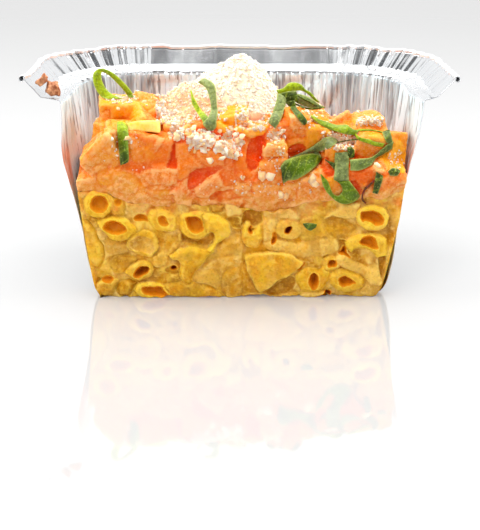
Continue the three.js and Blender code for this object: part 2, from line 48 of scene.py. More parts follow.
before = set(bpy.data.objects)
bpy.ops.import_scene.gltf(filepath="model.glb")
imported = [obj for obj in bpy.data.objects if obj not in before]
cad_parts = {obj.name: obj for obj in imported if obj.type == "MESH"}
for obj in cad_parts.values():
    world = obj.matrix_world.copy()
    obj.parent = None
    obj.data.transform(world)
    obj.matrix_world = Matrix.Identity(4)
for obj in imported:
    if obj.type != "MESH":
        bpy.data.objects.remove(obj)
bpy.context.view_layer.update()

# ---------------------------------------------------------------- the frame of this file
# Points are in millimetres with y = 0 where the foil is cut, +Y into the tray and z = 0 under its base.
MM = 0.001
CUT_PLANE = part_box("foil_tray")[0].y / MM
TO_ROW = np.array([0.0, CUT_PLANE, 0.0])
EYE = np.array([-1.64, -266.8, 103.9])  # where the camera stands

# ---------------------------------------------------------------- the tray, as in the solid
FOLD_HALF = 50.0
FOLD_RADIUS = 24.0
FOLD_HEIGHT = 53.3
RIM_LEAN = 4.4
RIM_RISE = 4.6
HEM_RADIUS = 0.85
HEM_ROWS = 15
LEDGE_WIDTH = 4.6
LEDGE_DROP = 0.8
SHOULDER_HEIGHT = 51.4
WALL_TOP_INSET = 5.2
WALL_FOOT_INSET = 10.6
WALL_FOOT_HEIGHT = 2.6
WALL_BULGE = 0.75
BASE_INSET = 12.8
BASE_HEIGHT = 0.12
WALL_ROWS = 52
PLEATS = 10
PLEAT_DEPTH = 0.6
MATT = 0.18  # how much rougher the foil's matt side is

# ---------------------------------------------------------------- the food, as in the solids
FACE_Y = -4.0
FOOD_INSET = 0.6
FOOD_FLOOR = 0.8
SEAM_GAP = 0.15

# Outlines are the x and z of their corners on the face's plane, in tenths of a millimetre. What shows at the
# cut of the macaroni layer, from the back to the front: kind, numbers and outline. A piece's numbers: how far
# it stands proud of the face, how far its edge rolls back and over what width, its colour (macaroni; toasted,
# which is browned sauce and also painted shade on shaded and sunken pieces; light, a painted highlight), how
# soft its edge is, and its lean (y for each mm of x and z) if it has one. A hole's numbers: its depth, its
# painted shade at the top and at the bottom, how light its painted highlight on the lip is, and its lean if
# it runs aslant.
FACE_PIECES = [
    ("piece", (-0.35, 0.3, 1.6, (0.12, 0.05, 0.25), 1.1), (-376, 157, -357, 163, -327, 157, -301, 149, -294,
        129, -314, 121, -336, 118, -357, 110, -362, 130)),
    ("piece", (0.1, 1.6, 2, (0.8, 0, 0.35), 0.25), (-422, 217, -400, 215, -385, 197, -374, 169, -362, 146,
        -360, 122, -365, 100, -378, 81, -392, 88, -405, 104, -415, 130, -420, 169)),
    ("piece", (-0.2, 0.4, 1.6, (0.05, 0, 0.5), 1.2), (-308, 259, -300, 278, -274, 286, -245, 282, -234, 263,
        -244, 243, -265, 232, -283, 230, -302, 240)),
    ("piece", (-0.3, 0.3, 1.4, (0.35, 0.1, 0.2), 0.9), (-250, 109, -227, 121, -204, 129, -193, 113, -197,
        93, -213, 85, -231, 87, -243, 97)),
    ("piece", (-0.15, 0.7, 1.2, (0.75, 0.5, 0), 0.3, (0.03, 0.06)), (-349, 97, -333, 116, -310, 121, -287,
        117, -276, 106, -294, 89, -312, 70, -333, 68, -346, 79)),
    ("piece", (-0.1, 0.6, 1, (0.7, 0.3, 0.1), 0.35, (0, -0.1)), (-385, 37, -370, 50, -352, 59, -340, 53,
        -328, 50, -336, 29, -344, 6, -368, 0, -381, 8)),
    ("hole", (1.4, 0.6, 0.4, 0.5), (-370, 50, -353, 59, -342, 54, -347, 44, -360, 44)),
    ("piece", (-0.25, 1.2, 1.6, (0.8, 0.5, 0), 0.25, (0, 0.05)), (-335, 31, -324, 43, -299, 51, -274, 41,
        -286, 22, -299, 3, -322, 0, -333, 12)),
    ("piece", (-0.35, 0.5, 0.9, (0.45, 0.45, 0.1), 0.3, (0.1, 0)), (-197, 117, -191, 135, -173, 157, -160,
        179, -139, 168, -151, 155, -166, 139, -178, 121)),
    ("piece", (-0.3, 0.3, 1.5, (0.2, 0.05, 0.2), 1.2), (-66, 129, -57, 149, -38, 161, 2, 165, 2, 117, -38,
        117, -61, 113)),
    ("piece", (-0.2, 0.35, 1.5, (0.15, 0.1, 0.25), 1.1), (-99, 77, -91, 93, -68, 109, -38, 117, 2, 117, 2,
        81, -30, 80, -53, 61, -76, 77)),
    ("piece", (-0.5, 0.4, 1.5, (0.25, 0.3, 0.1), 1.1), (0, 93, 15, 77, 31, 44, 46, 17, 50, -1, 0, -1)),
    ("piece", (-0.25, 0.45, 1.2, (0.3, 0.25, 0.15), 0.5), (-55, 40, -51, 61, -38, 77, -19, 83, 0, 81, 2, -1,
        -38, -3, -50, 16)),
    ("piece", (-0.05, 0.45, 1, (0.4, 0.15, 0.3), 0.4), (-131, 55, -118, 71, -97, 78, -75, 78, -56, 61, -55,
        36, -69, 20, -88, 34, -111, 40)),
    ("piece", (-0.3, 0.5, 1, (0.6, 0.4, 0), 0.4), (-198, 61, -175, 69, -162, 61, -151, 40, -176, 40, -195,
        40)),
    ("piece", (-0.05, 0.7, 1.1, (0.8, 0.3, 0.1), 0.25, (0, 0.05)), (-212, 29, -191, 40, -168, 45, -137, 49,
        -115, 40, -86, 36, -61, 20, -42, -1, -100, -3, -161, -3, -189, -3, -197, 17)),
    ("piece", (-0.3, 1, 1.3, (0.7, 0.75, 0), 0.4), (-78, 239, -79, 266, -71, 279, -48, 279, -42, 266, -45,
        239, -60, 233)),
    ("piece", (0, 0.5, 1.4, (0.1, 0, 0.6), 0.9), (-41, 243, -39, 270, -26, 278, -4, 270, 2, 235, -15, 228,
        -34, 226)),
    ("piece", (0.1, 0.9, 1.2, (0.9, 0.1, 0.1), 0.3, (0, 0.05)), (-335, 259, -333, 271, -324, 278, -312, 278,
        -302, 270, -300, 251, -302, 234, -317, 226, -332, 230, -337, 244)),
    ("hole", (1, 0.3, 0.15, 0.3, (0, -0.2)), (-327, 265, -325, 271, -318, 275, -311, 272, -309, 266, -313,
        260, -319, 258, -325, 260)),
    ("piece", (0.35, 0.8, 0.9, (1, 0, 0.15), 0.25), (-409, 261, -403, 282, -387, 296, -366, 299, -345, 294,
        -332, 278, -331, 259, -341, 238, -352, 227, -373, 222, -396, 231, -406, 246)),
    ("hole", (1.9, 0.42, 0.3, 0.8, (-0.1, 0.1)), (-390, 263, -386, 276, -374, 283, -359, 283, -349, 276,
        -345, 263, -349, 251, -357, 244, -370, 241, -383, 245, -389, 253)),
    ("piece", (0.45, 0.8, 1, (1, 0, 0.15), 0.22), (-377, 212, -362, 220, -337, 227, -310, 225, -290, 213,
        -275, 199, -273, 183, -289, 169, -312, 160, -334, 162, -355, 176, -368, 194)),
    ("hole", (2, 0.62, 0.08, 0.9, (0.1, -0.25)), (-358, 200, -347, 213, -332, 217, -317, 212, -305, 203,
        -299, 192, -307, 184, -323, 180, -339, 180, -352, 187)),
    ("hole", (1.1, 0.2, 0.1, 0.2, (0, -0.2)), (-279, 219, -270, 230, -258, 231, -249, 226, -243, 212, -258,
        213, -273, 215)),
    ("piece", (0.3, 0.8, 1.1, (0.9, 0, 0.25), 0.25), (-243, 230, -238, 243, -223, 247, -205, 247, -186, 240,
        -171, 226, -167, 204, -172, 188, -191, 184, -214, 188, -230, 197, -240, 213)),
    ("hole", (1.2, 0.35, 0.1, 0.8), (-215, 221, -212, 227, -202, 229, -195, 220, -189, 207, -201, 202, -211,
        208)),
    ("piece", (0.2, 0.6, 0.9, (0.8, 0.15, 0.1), 0.22), (-300, 153, -292, 171, -274, 185, -251, 190, -232,
        183, -219, 166, -217, 144, -226, 125, -242, 115, -265, 119, -287, 130, -298, 141)),
    ("piece", (-0.25, -0.35, 1.2, (0.1, 0.05, 0.25), 0.5), (-294, 153, -285, 164, -268, 173, -248, 171,
        -233, 160, -228, 142, -234, 126, -249, 126, -270, 133, -288, 138)),
    ("piece", (0.5, 0.8, 0.9, (1, 0, 0.2), 0.22), (-159, 206, -155, 230, -139, 239, -112, 242, -90, 234,
        -83, 212, -83, 185, -96, 170, -117, 164, -139, 170, -155, 182)),
    ("hole", (2.2, 0.75, 0.1, 1, (0, -0.1)), (-143, 220, -136, 228, -116, 229, -105, 220, -100, 206, -99,
        192, -108, 185, -125, 186, -137, 196)),
    ("piece", (-1.5, -0.6, 1, (0.5, 0.75, 0), 0.25, (-0.08, 0)), (-157, 179, -139, 167, -117, 161, -96, 168,
        -81, 181, -72, 181, -68, 172, -75, 157, -84, 144, -100, 142, -117, 147, -139, 154, -154, 157)),
    ("piece", (0.75, 1, 1.4, (0.95, 0.1, 0.1), 0.2, (0, -0.08)), (-189, 117, -174, 130, -151, 142, -128,
        145, -104, 141, -84, 134, -76, 127, -89, 111, -103, 93, -120, 72, -133, 40, -149, 40, -161, 57,
        -165, 76, -159, 92, -167, 104, -179, 108)),
    ("piece", (1.2, 1.3, 1.8, (1, 0, 0.45), 0.2), (-102, 232, -86, 235, -60, 231, -40, 219, -29, 203, -28,
        182, -37, 166, -57, 153, -66, 140, -73, 127, -90, 131, -85, 144, -72, 157, -68, 176, -76, 187, -88,
        181, -96, 196, -100, 214)),
    ("piece", (-1, -0.4, 0.8, (0.6, 0.9, 0), 0.4), (-39, 221, -19, 226, 0, 220, 3, 192, -23, 192, -28,
        207)),
    ("piece", (-0.9, -0.5, 1, (0.7, 0.6, 0), 0.8), (-205, 77, -197, 88, -178, 91, -166, 82, -162, 67, -179,
        64, -198, 67)),
    ("hole", (2, 0.95, 0.9, 0.2), (-188, 81, -182, 87, -175, 87, -170, 82, -175, 76, -183, 76)),
    ("piece", (0.3, 0.7, 0.9, (0.85, 0.05, 0.2), 0.22), (-309, 72, -296, 86, -277, 99, -257, 104, -241, 99,
        -233, 87, -231, 76, -244, 60, -263, 50, -276, 47, -290, 55, -301, 63)),
    ("hole", (2.4, 0.85, 0.7, 0.7, (0.1, 0)), (-283, 72, -277, 81, -266, 88, -252, 90, -243, 84, -249, 73,
        -261, 65, -274, 60, -282, 63)),
    ("piece", (0.35, 0.7, 0.9, (0.95, 0, 0.25), 0.22), (-285, 25, -272, 41, -247, 45, -223, 42, -206, 36,
        -199, 22, -189, -1, -230, -3, -261, -3, -277, 10)),
    ("hole", (1.8, 0.5, 0.35, 0.7, (0.1, -0.1)), (-262, 29, -248, 33, -229, 32, -213, 32, -204, 20, -195, 5,
        -215, 4, -237, 7, -253, 11, -260, 18)),
    ("piece", (-0.1, 0.35, 1.4, (0.15, 0, 0.45), 1), (57, 196, 62, 216, 82, 223, 97, 211, 91, 188, 91, 165,
        75, 157, 59, 159)),
    ("piece", (-0.15, 0.4, 1.6, (0.05, 0, 0.5), 1.2), (60, 224, 63, 251, 82, 262, 115, 255, 142, 239, 157,
        219, 142, 211, 116, 216, 86, 223)),
    ("piece", (-1.7, -0.7, 1.2, (0.6, 0.85, 0), 0.35, (-0.1, 0)), (1, 200, 6, 233, 22, 243, 38, 244, 55,
        243, 58, 229, 55, 211, 41, 199, 29, 197, 20, 209, 8, 202)),
    ("piece", (0.3, 0.9, 1.3, (0.85, 0.05, 0.2), 0.22), (1, 180, 6, 200, 20, 211, 27, 200, 22, 191, 24, 182,
        30, 184, 41, 198, 53, 201, 57, 182, 54, 157, 39, 139, 19, 139, 6, 157)),
    ("hole", (1, 0.9, 0.8, 0), (24, 199, 20, 189, 25, 182, 29, 184, 26, 191, 29, 197)),
    ("piece", (-0.3, 0.5, 1.6, (0.6, 0.2, 0.15), 0.7), (150, 196, 161, 219, 194, 223, 217, 211, 233, 171,
        218, 164, 181, 158, 158, 162)),
    ("piece", (-0.8, 0.2, 1.6, (0.45, 0.5, 0.05), 1, (0.04, 0.05)), (212, 211, 232, 225, 254, 226, 274, 218,
        306, 196, 293, 178, 277, 159, 256, 163, 233, 171, 218, 192)),
    ("piece", (-1.3, 0.2, 1, (0.8, 0.6, 0), 0.5), (252, 158, 277, 159, 285, 144, 277, 128, 269, 124, 257,
        125)),
    ("hole", (2.2, 0.55, 0.9, 0.3), (257, 124, 265, 125, 274, 140, 279, 126, 289, 112, 275, 116, 263, 122)),
    ("piece", (0, 0.35, 1.3, (0.15, 0, 0.45), 0.6), (217, 217, 239, 239, 268, 257, 309, 262, 306, 243, 301,
        223, 277, 219, 254, 225, 232, 225)),
    ("piece", (-0.05, 0.55, 2, (0.2, 0, 0.35), 0.8), (59, 153, 87, 163, 121, 160, 151, 153, 185, 158, 218,
        165, 252, 162, 260, 144, 253, 125, 220, 116, 174, 112, 136, 116, 106, 124, 70, 135)),
    ("piece", (0.15, 0.5, 1.7, (0.5, 0.05, 0.3), 0.7), (91, 188, 94, 206, 116, 219, 142, 216, 157, 202, 162,
        184, 151, 168, 124, 161, 104, 168)),
    ("hole", (2.4, 1, 0.95, 0.2), (114, 182, 117, 192, 124, 198, 132, 200, 135, 194, 131, 184, 123, 178)),
    ("hole", (1.8, 0.35, 0.9, 0.1), (85, 181, 90, 180, 93, 163, 88, 153, 81, 153, 81, 161, 85, 172)),
    ("piece", (0.55, 0.8, 0.9, (0.9, 0, 0.55), 0.22), (302, 229, 306, 243, 327, 255, 353, 257, 374, 247,
        385, 229, 387, 210, 378, 195, 360, 188, 338, 188, 316, 197, 304, 213)),
    ("hole", (2.3, 0.6, 0.35, 1, (-0.1, 0)), (315, 239, 335, 243, 351, 242, 367, 231, 372, 217, 365, 206,
        351, 205, 341, 211, 327, 218, 319, 215, 315, 225)),
    ("piece", (0.6, 1, 1.2, (0.9, 0, 0.35), 0.22), (274, 151, 282, 164, 298, 174, 319, 179, 346, 180, 370,
        175, 385, 162, 389, 140, 386, 114, 374, 111, 358, 113, 350, 124, 332, 135, 311, 138, 293, 126, 282,
        137)),
    ("hole", (2.2, 0.6, 0.03, 0.7, (-0.1, -0.3)), (311, 157, 317, 167, 329, 173, 344, 172, 355, 162, 361,
        140, 351, 138, 332, 144, 317, 150)),
    ("piece", (-0.9, -0.4, 1, (0.5, 0.85, 0), 0.4), (65, 17, 101, 43, 122, 58, 139, 59, 147, 40, 134, 17,
        111, 5, 81, 1)),
    ("hole", (1.3, 0.8, 0.8, 0.2), (148, 76, 155, 84, 166, 97, 168, 94, 158, 80, 152, 74)),
    ("piece", (0.7, 0.35, 0.8, (0.75, 0, 0.15), 0.2, (0.03, -0.03)), (10, 117, 27, 125, 53, 127, 87, 129,
        119, 125, 146, 112, 166, 98, 157, 86, 145, 73, 122, 59, 99, 49, 71, 24, 56, 15, 43, 22, 31, 47, 19,
        77, 12, 99)),
    ("piece", (0.2, 0.9, 1.2, (0.9, 0.1, 0.2), 0.3), (147, 56, 156, 76, 179, 84, 205, 82, 225, 88, 238, 76,
        236, 52, 226, 31, 211, 16, 188, 13, 165, 18, 151, 36)),
    ("hole", (2, 0.85, 0.45, 0.5), (183, 44, 186, 62, 194, 69, 202, 64, 207, 47, 203, 31, 195, 22, 187,
        27)),
    ("piece", (0.15, 0.7, 0.9, (0.75, 0.15, 0.15), 0.3), (219, 96, 224, 112, 240, 117, 258, 110, 264, 95,
        259, 80, 242, 74, 225, 79)),
    ("hole", (1.6, 0.8, 0.5, 0.2), (235, 104, 244, 106, 252, 101, 251, 91, 241, 86, 232, 89)),
    ("piece", (-0.1, 0.45, 1.8, (0.2, 0, 0.4), 1.2), (327, 76, 349, 92, 372, 92, 378, 56, 375, 19, 361, 0,
        330, 0, 318, 17, 332, 39)),
    ("piece", (0.25, 0.5, 1.2, (0.25, 0, 0.5), 0.35, (0, 0.04)), (252, 116, 266, 121, 281, 117, 296, 104,
        320, 94, 346, 80, 373, 76, 375, 35, 344, 39, 328, 60, 297, 71, 270, 84, 254, 100)),
    ("piece", (0.35, 0.9, 1.2, (0.9, 0.05, 0.25), 0.25), (237, 54, 247, 76, 270, 81, 297, 74, 322, 60, 331,
        43, 319, 22, 291, 15, 261, 17, 243, 33)),
    ("hole", (2.1, 0.75, 0.45, 0.5, (0.15, 0)), (260, 49, 265, 57, 278, 61, 292, 54, 306, 44, 294, 39, 280,
        35, 274, 30, 264, 37)),
    ("piece", (0, 0.4, 0.6, (0.1, 0, 0.4), 0.3), (161, -1, 167, 11, 207, 14, 238, 14, 241, 5, 226, 7, 207,
        -1)),
    ("hole", (1.6, 0.95, 0.95, 0), (202, -1, 223, 8, 228, 17, 242, 14, 238, 5, 223, -2)),
    ("piece", (-1, 0, 0.6, (0.4, 0.9, 0), 0.3), (366, 111, 386, 114, 381, 76, 376, 56, 369, 76)),
    ("hole", (2, 1, 1, 0), (-119, -3, -102, 1, -84, 5, -61, 0, -56, -3)),
    ("hole", (2, 1, 1, 0), (8, -3, 21, 4, 39, 5, 74, 1, 77, -3)),
    ("hole", (2, 1, 1, 0), (244, -3, 261, 0, 284, 0, 294, -3)),
]


def seam(x):
    """Height where macaroni meets tomato; it climbs towards both walls."""
    return 25.2 + 4.4 * (x / 42) ** 2 - 0.5 * np.sin(x / 5)


def ragged_seam(x, y):
    """The seam as it runs at the cut, with lumps of each layer reaching into the other."""
    at = xz(x, 0 * x)
    lumps = 0.9 * noise(at, 4.2, 91) + 0.5 * noise(at, 1.7, 92)
    return seam(x) + lumps * np.clip(1 - (y - FACE_Y) / 8, 0, 1)


def bell(x, y, x0, y0, sx, sy):
    """A bell-shaped bump, 1 at its middle."""
    return np.exp(-(((x - x0) / sx) ** 2 + ((y - y0) / sy) ** 2) / 2)


def heap(x, y):
    """Height of the tomato heap under its dice."""
    mound = 15 * bell(x, y, -2, 15, 21, 12)
    left_shoulder = 10.5 * bell(x, y, -29, 10, 9, 9)
    right_shoulder = 6.5 * bell(x, y, 34, 8, 11, 12)
    return 32 + mound + left_shoulder + right_shoulder


def wall_inset(z):
    """How far the wall stands inside the fold's outline at a height."""
    rise = np.clip((z - WALL_FOOT_HEIGHT) / (SHOULDER_HEIGHT - WALL_FOOT_HEIGHT), 0, 1)
    return WALL_FOOT_INSET + (WALL_TOP_INSET - WALL_FOOT_INSET) * rise**WALL_BULGE


# ---------------------------------------------------------------- colours and nodes
def linear(text):
    """A hex sRGB colour as linear red, green, blue and alpha."""
    parts = [int(text[i : i + 2], 16) / 255 for i in (1, 3, 5)]
    return (*(c / 12.92 if c <= 0.04045 else ((c + 0.055) / 1.055) ** 2.4 for c in parts), 1.0)


def mm(metres):
    """A length property in millimetres."""
    return metres / MM


def per_metre(size):
    """Pattern scale for features of the given size in millimetres."""
    return 1 / (size * MM)


def new_material(name, **inputs):
    """A material with its node tree and its shader, whose own sockets hold the inputs."""
    material = bpy.data.materials.new(name)
    material.use_nodes = True
    shader = material.node_tree.nodes["Principled BSDF"]
    for socket, value in inputs.items():
        shader.inputs[socket.replace("_", " ")].default_value = value
    return material, material.node_tree, shader


def add_node(tree, kind, settings=None, links=None):
    """Adds a node, sets its properties, and links or fills its inputs by name or number."""
    made = tree.nodes.new("ShaderNode" + kind)
    for key, value in (settings or {}).items():
        setattr(made, key, value)
    for socket, value in (links or {}).items():
        if isinstance(value, bpy.types.NodeSocket):
            tree.links.new(value, made.inputs[socket])
        else:
            made.inputs[socket].default_value = value
    return made


def mask(tree, source, share=1.0, low=0.0, high=1.0):
    """A share of a pattern, or of what the mesh stores under a name: 0 at low and 1 at high."""
    if isinstance(source, str):
        source = add_node(tree, "Attribute", {"attribute_name": source}).outputs["Fac"]
    if (low, high) != (0, 1):
        links = {"Value": source, "From Min": low, "From Max": high}
        source = add_node(tree, "MapRange", links=links).outputs[0]
    if share != 1:
        source = add_node(tree, "Math", {"operation": "MULTIPLY"}, {0: source, 1: share}).outputs[0]
    return source


def painted(tree, under, over, source, share=1.0, low=0.0, high=1.0):
    """A colour with another laid over it where a mask is high."""
    links = {0: mask(tree, source, share, low, high), 6: under, 7: over}
    return add_node(tree, "Mix", {"data_type": "RGBA"}, links).outputs[2]


def speckle(tree, size, low=0.35, high=0.65, detail=2.0, stretch=(1, 1, 1)):
    """A mask of soft spots of the given size in millimetres."""
    where = add_node(tree, "TexCoord").outputs["Object"]
    if stretch != (1, 1, 1):
        where = add_node(tree, "Mapping", links={"Vector": where, "Scale": stretch}).outputs[0]
    spots = add_node(tree, "TexNoise", links={"Vector": where, "Scale": per_metre(size), "Detail": detail})
    return mask(tree, spots.outputs["Fac"], low=low, high=high)


def bumped(tree, shader, height, depth, strength=1.0):
    """Raises the surface by a height mask whose full depth is in millimetres."""
    links = {"Height": height, "Distance": depth * MM, "Strength": strength}
    old = shader.inputs["Normal"].links
    if old:
        links["Normal"] = old[0].from_socket
    tree.links.new(add_node(tree, "Bump", links=links).outputs[0], shader.inputs["Normal"])


# ---------------------------------------------------------------- numbers over points
LATTICE = 32  # the noise repeats after this many lumps


def smooth_step(share):
    """0 to 1 with no corner at either end."""
    share = np.clip(share, 0, 1)
    return share * share * (3 - 2 * share)


def noise(points, size, seed=0):
    """Smooth noise from -1 to 1 at each point, in lumps of the given size."""
    lattice = np.random.default_rng(seed).uniform(-1, 1, (LATTICE, LATTICE, LATTICE))
    scaled = points / size + 2 * LATTICE
    cell = np.floor(scaled).astype(int)
    share = smooth_step(scaled - cell)
    total = np.zeros(len(points))
    for corner in np.ndindex(2, 2, 2):
        weight = np.prod(np.where(corner, share, 1 - share), axis=1)
        i, j, k = ((cell + corner) % LATTICE).T
        total += weight * lattice[i, j, k]
    return total


def ridged(points, size, seed):
    """Noise from -1 to 1 with sharp crests."""
    return 1 - 2 * np.abs(noise(points, size, seed))


def rough(points, size, octaves=3, seed=0):
    """Noise with finer lumps on the coarse ones."""
    return sum(noise(points, size / 2**k, seed + k) / 2**k for k in range(octaves))


def xz(x, z):
    """Points of the cut face."""
    return np.stack([x, np.zeros_like(x), z], axis=-1)


def unit(vectors):
    """Vectors of length 1."""
    return vectors / np.maximum(np.linalg.norm(vectors, axis=-1, keepdims=True), 1e-9)


# ---------------------------------------------------------------- meshes
def grid_faces(rows, columns, closed=False):
    """Quads over a grid of points stored row by row; closed joins the last column to the first."""
    across = columns if closed else columns - 1
    i, j = np.meshgrid(np.arange(rows - 1), np.arange(across), indexing="ij")
    k = (j + 1) % columns
    quads = [i * columns + j, i * columns + k, (i + 1) * columns + k, (i + 1) * columns + j]
    return np.stack(quads, axis=-1).reshape(-1, 4)


def merged(parts):
    """One (points, faces, values) from several, where values maps a name to numbers on the points."""
    points = np.concatenate([p for p, _, _ in parts])
    starts = np.cumsum([0] + [len(p) for p, _, _ in parts[:-1]])
    faces = np.concatenate([f + start for (_, f, _), start in zip(parts, starts)])
    values = {name: np.concatenate([v[name] for _, _, v in parts]) for name in parts[0][2]}
    return points, faces, values


def store(mesh, values):
    """Stores a number on each point of a mesh, under each of the names."""
    for name, numbers in values.items():
        layer = mesh.attributes.new(name, "FLOAT", "POINT")
        layer.data.foreach_set("value", np.ravel(numbers).astype(np.float32))


def tidy_mesh(mesh):
    """Welds points that coincide, turns faces outwards and shades smooth."""
    body = bmesh.new()
    body.from_mesh(mesh)
    bmesh.ops.remove_doubles(body, verts=body.verts, dist=1e-7)
    bmesh.ops.recalc_face_normals(body, faces=body.faces)
    body.to_mesh(mesh)
    body.free()
    mesh.shade_smooth()


def new_mesh(name, points, faces, values=None):
    """A mesh object from points in millimetres, tidied if it has values to store on them."""
    mesh = bpy.data.meshes.new(name)
    mesh.from_pydata(((points + TO_ROW) * MM).tolist(), [], faces.tolist())
    if values:
        store(mesh, values)
        tidy_mesh(mesh)
    made = bpy.data.objects.new(name, mesh)
    bpy.context.collection.objects.link(made)
    return made


def read(items, name, width, kind=np.float32):
    """One property of all the points, edges or normals of a mesh, with a row for each."""
    flat = np.empty(width * len(items), kind)
    items.foreach_get(name, flat)
    return flat.reshape(-1, width)


def finish_piece(made, material, replaced=()):
    """Gives a piece its material and its place on the body."""
    made.data.materials.append(material)
    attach(made, "root")
    if replaced:
        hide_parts(*replaced)


def knots_of(tenths, width):
    """A table's tenths of a millimetre as rows of so many numbers in millimetres."""
    return np.reshape(tenths, (-1, width)) / 10


def spline(a, b, c, d, u):
    """A point on a smooth curve through four knots, a share u of the way from the second to the third."""
    return 0.5 * (2 * b + (c - a) * u + (2 * a - 5 * b + 4 * c - d) * u**2 + (3 * b - a - 3 * c + d) * u**3)


def smooth_path(knots, count):
    """Points along a smooth curve through the knots."""
    ends = np.concatenate([[2 * knots[0] - knots[1]], knots, [2 * knots[-1] - knots[-2]]])
    t = np.linspace(0, len(knots) - 1, count)
    i = np.minimum(t.astype(int), len(knots) - 2)
    return spline(*(ends[i + k] for k in range(4)), (t - i)[:, None])


# ---------------------------------------------------------------- foil
def outline(front, side, corner, back):
    """The fold's outline from the right cut end to the left: x, y, outward x, y, share of corner."""
    straight = FOLD_HALF - FOLD_RADIUS
    angle = np.linspace(0, np.pi / 2, corner + 1)
    cos, sin = np.cos(angle), np.sin(angle)
    run = np.arange(side) / side
    ahead = 1 - np.arange(1, back + 1) / back
    parts = (
        (FOLD_HALF, front + (straight - front) * run, 1, 0, 0),
        (straight + FOLD_RADIUS * cos, straight + FOLD_RADIUS * sin, cos, sin, angle / (np.pi / 2)),
        (straight * ahead, FOLD_HALF, 0, 1, 0),
    )
    right = np.concatenate([np.stack(np.broadcast_arrays(*part), axis=1) for part in parts])
    return np.concatenate([right, right[-2::-1] * [-1, 1, -1, 1, 1]])


def foil_profile():
    """Rows of the sheet as inset, height and share of the way out from the base's middle."""
    base = [(BASE_INSET, BASE_HEIGHT, share) for share in np.linspace(0, 0.98, 9)]
    foot = [(BASE_INSET, BASE_HEIGHT, 1), (12.1, 0.4, 1), (11.3, 1.2, 1)]
    wall = [(wall_inset(z), z, 1) for z in np.linspace(WALL_FOOT_HEIGHT, SHOULDER_HEIGHT, WALL_ROWS)]
    low = FOLD_HEIGHT - LEDGE_DROP
    shoulder = [(5.05, 52.0, 1)]
    ledge = [(LEDGE_WIDTH * (1 - s), low + LEDGE_DROP * s, 1) for s in np.linspace(0, 0.97, 7)]
    rim = [(-RIM_LEAN * s, FOLD_HEIGHT + RIM_RISE * s, 1) for s in np.linspace(0, 1, 11)]
    hem = []
    for share in np.linspace(0, 1, HEM_ROWS):
        angle = math.radians(160 - 390 * share)
        radius = HEM_RADIUS * (1 - 0.35 * share)
        out = RIM_LEAN + 0.5 * HEM_RADIUS + radius * math.cos(angle)
        hem.append((-out, FOLD_HEIGHT + RIM_RISE + radius * math.sin(angle), 1))
    return np.array(base + foot + wall + shoulder + ledge + rim + hem)


def zigzag(phase):
    """A triangle wave from -1 to 1."""
    return 4 * np.abs(phase - np.floor(phase + 0.5)) - 1


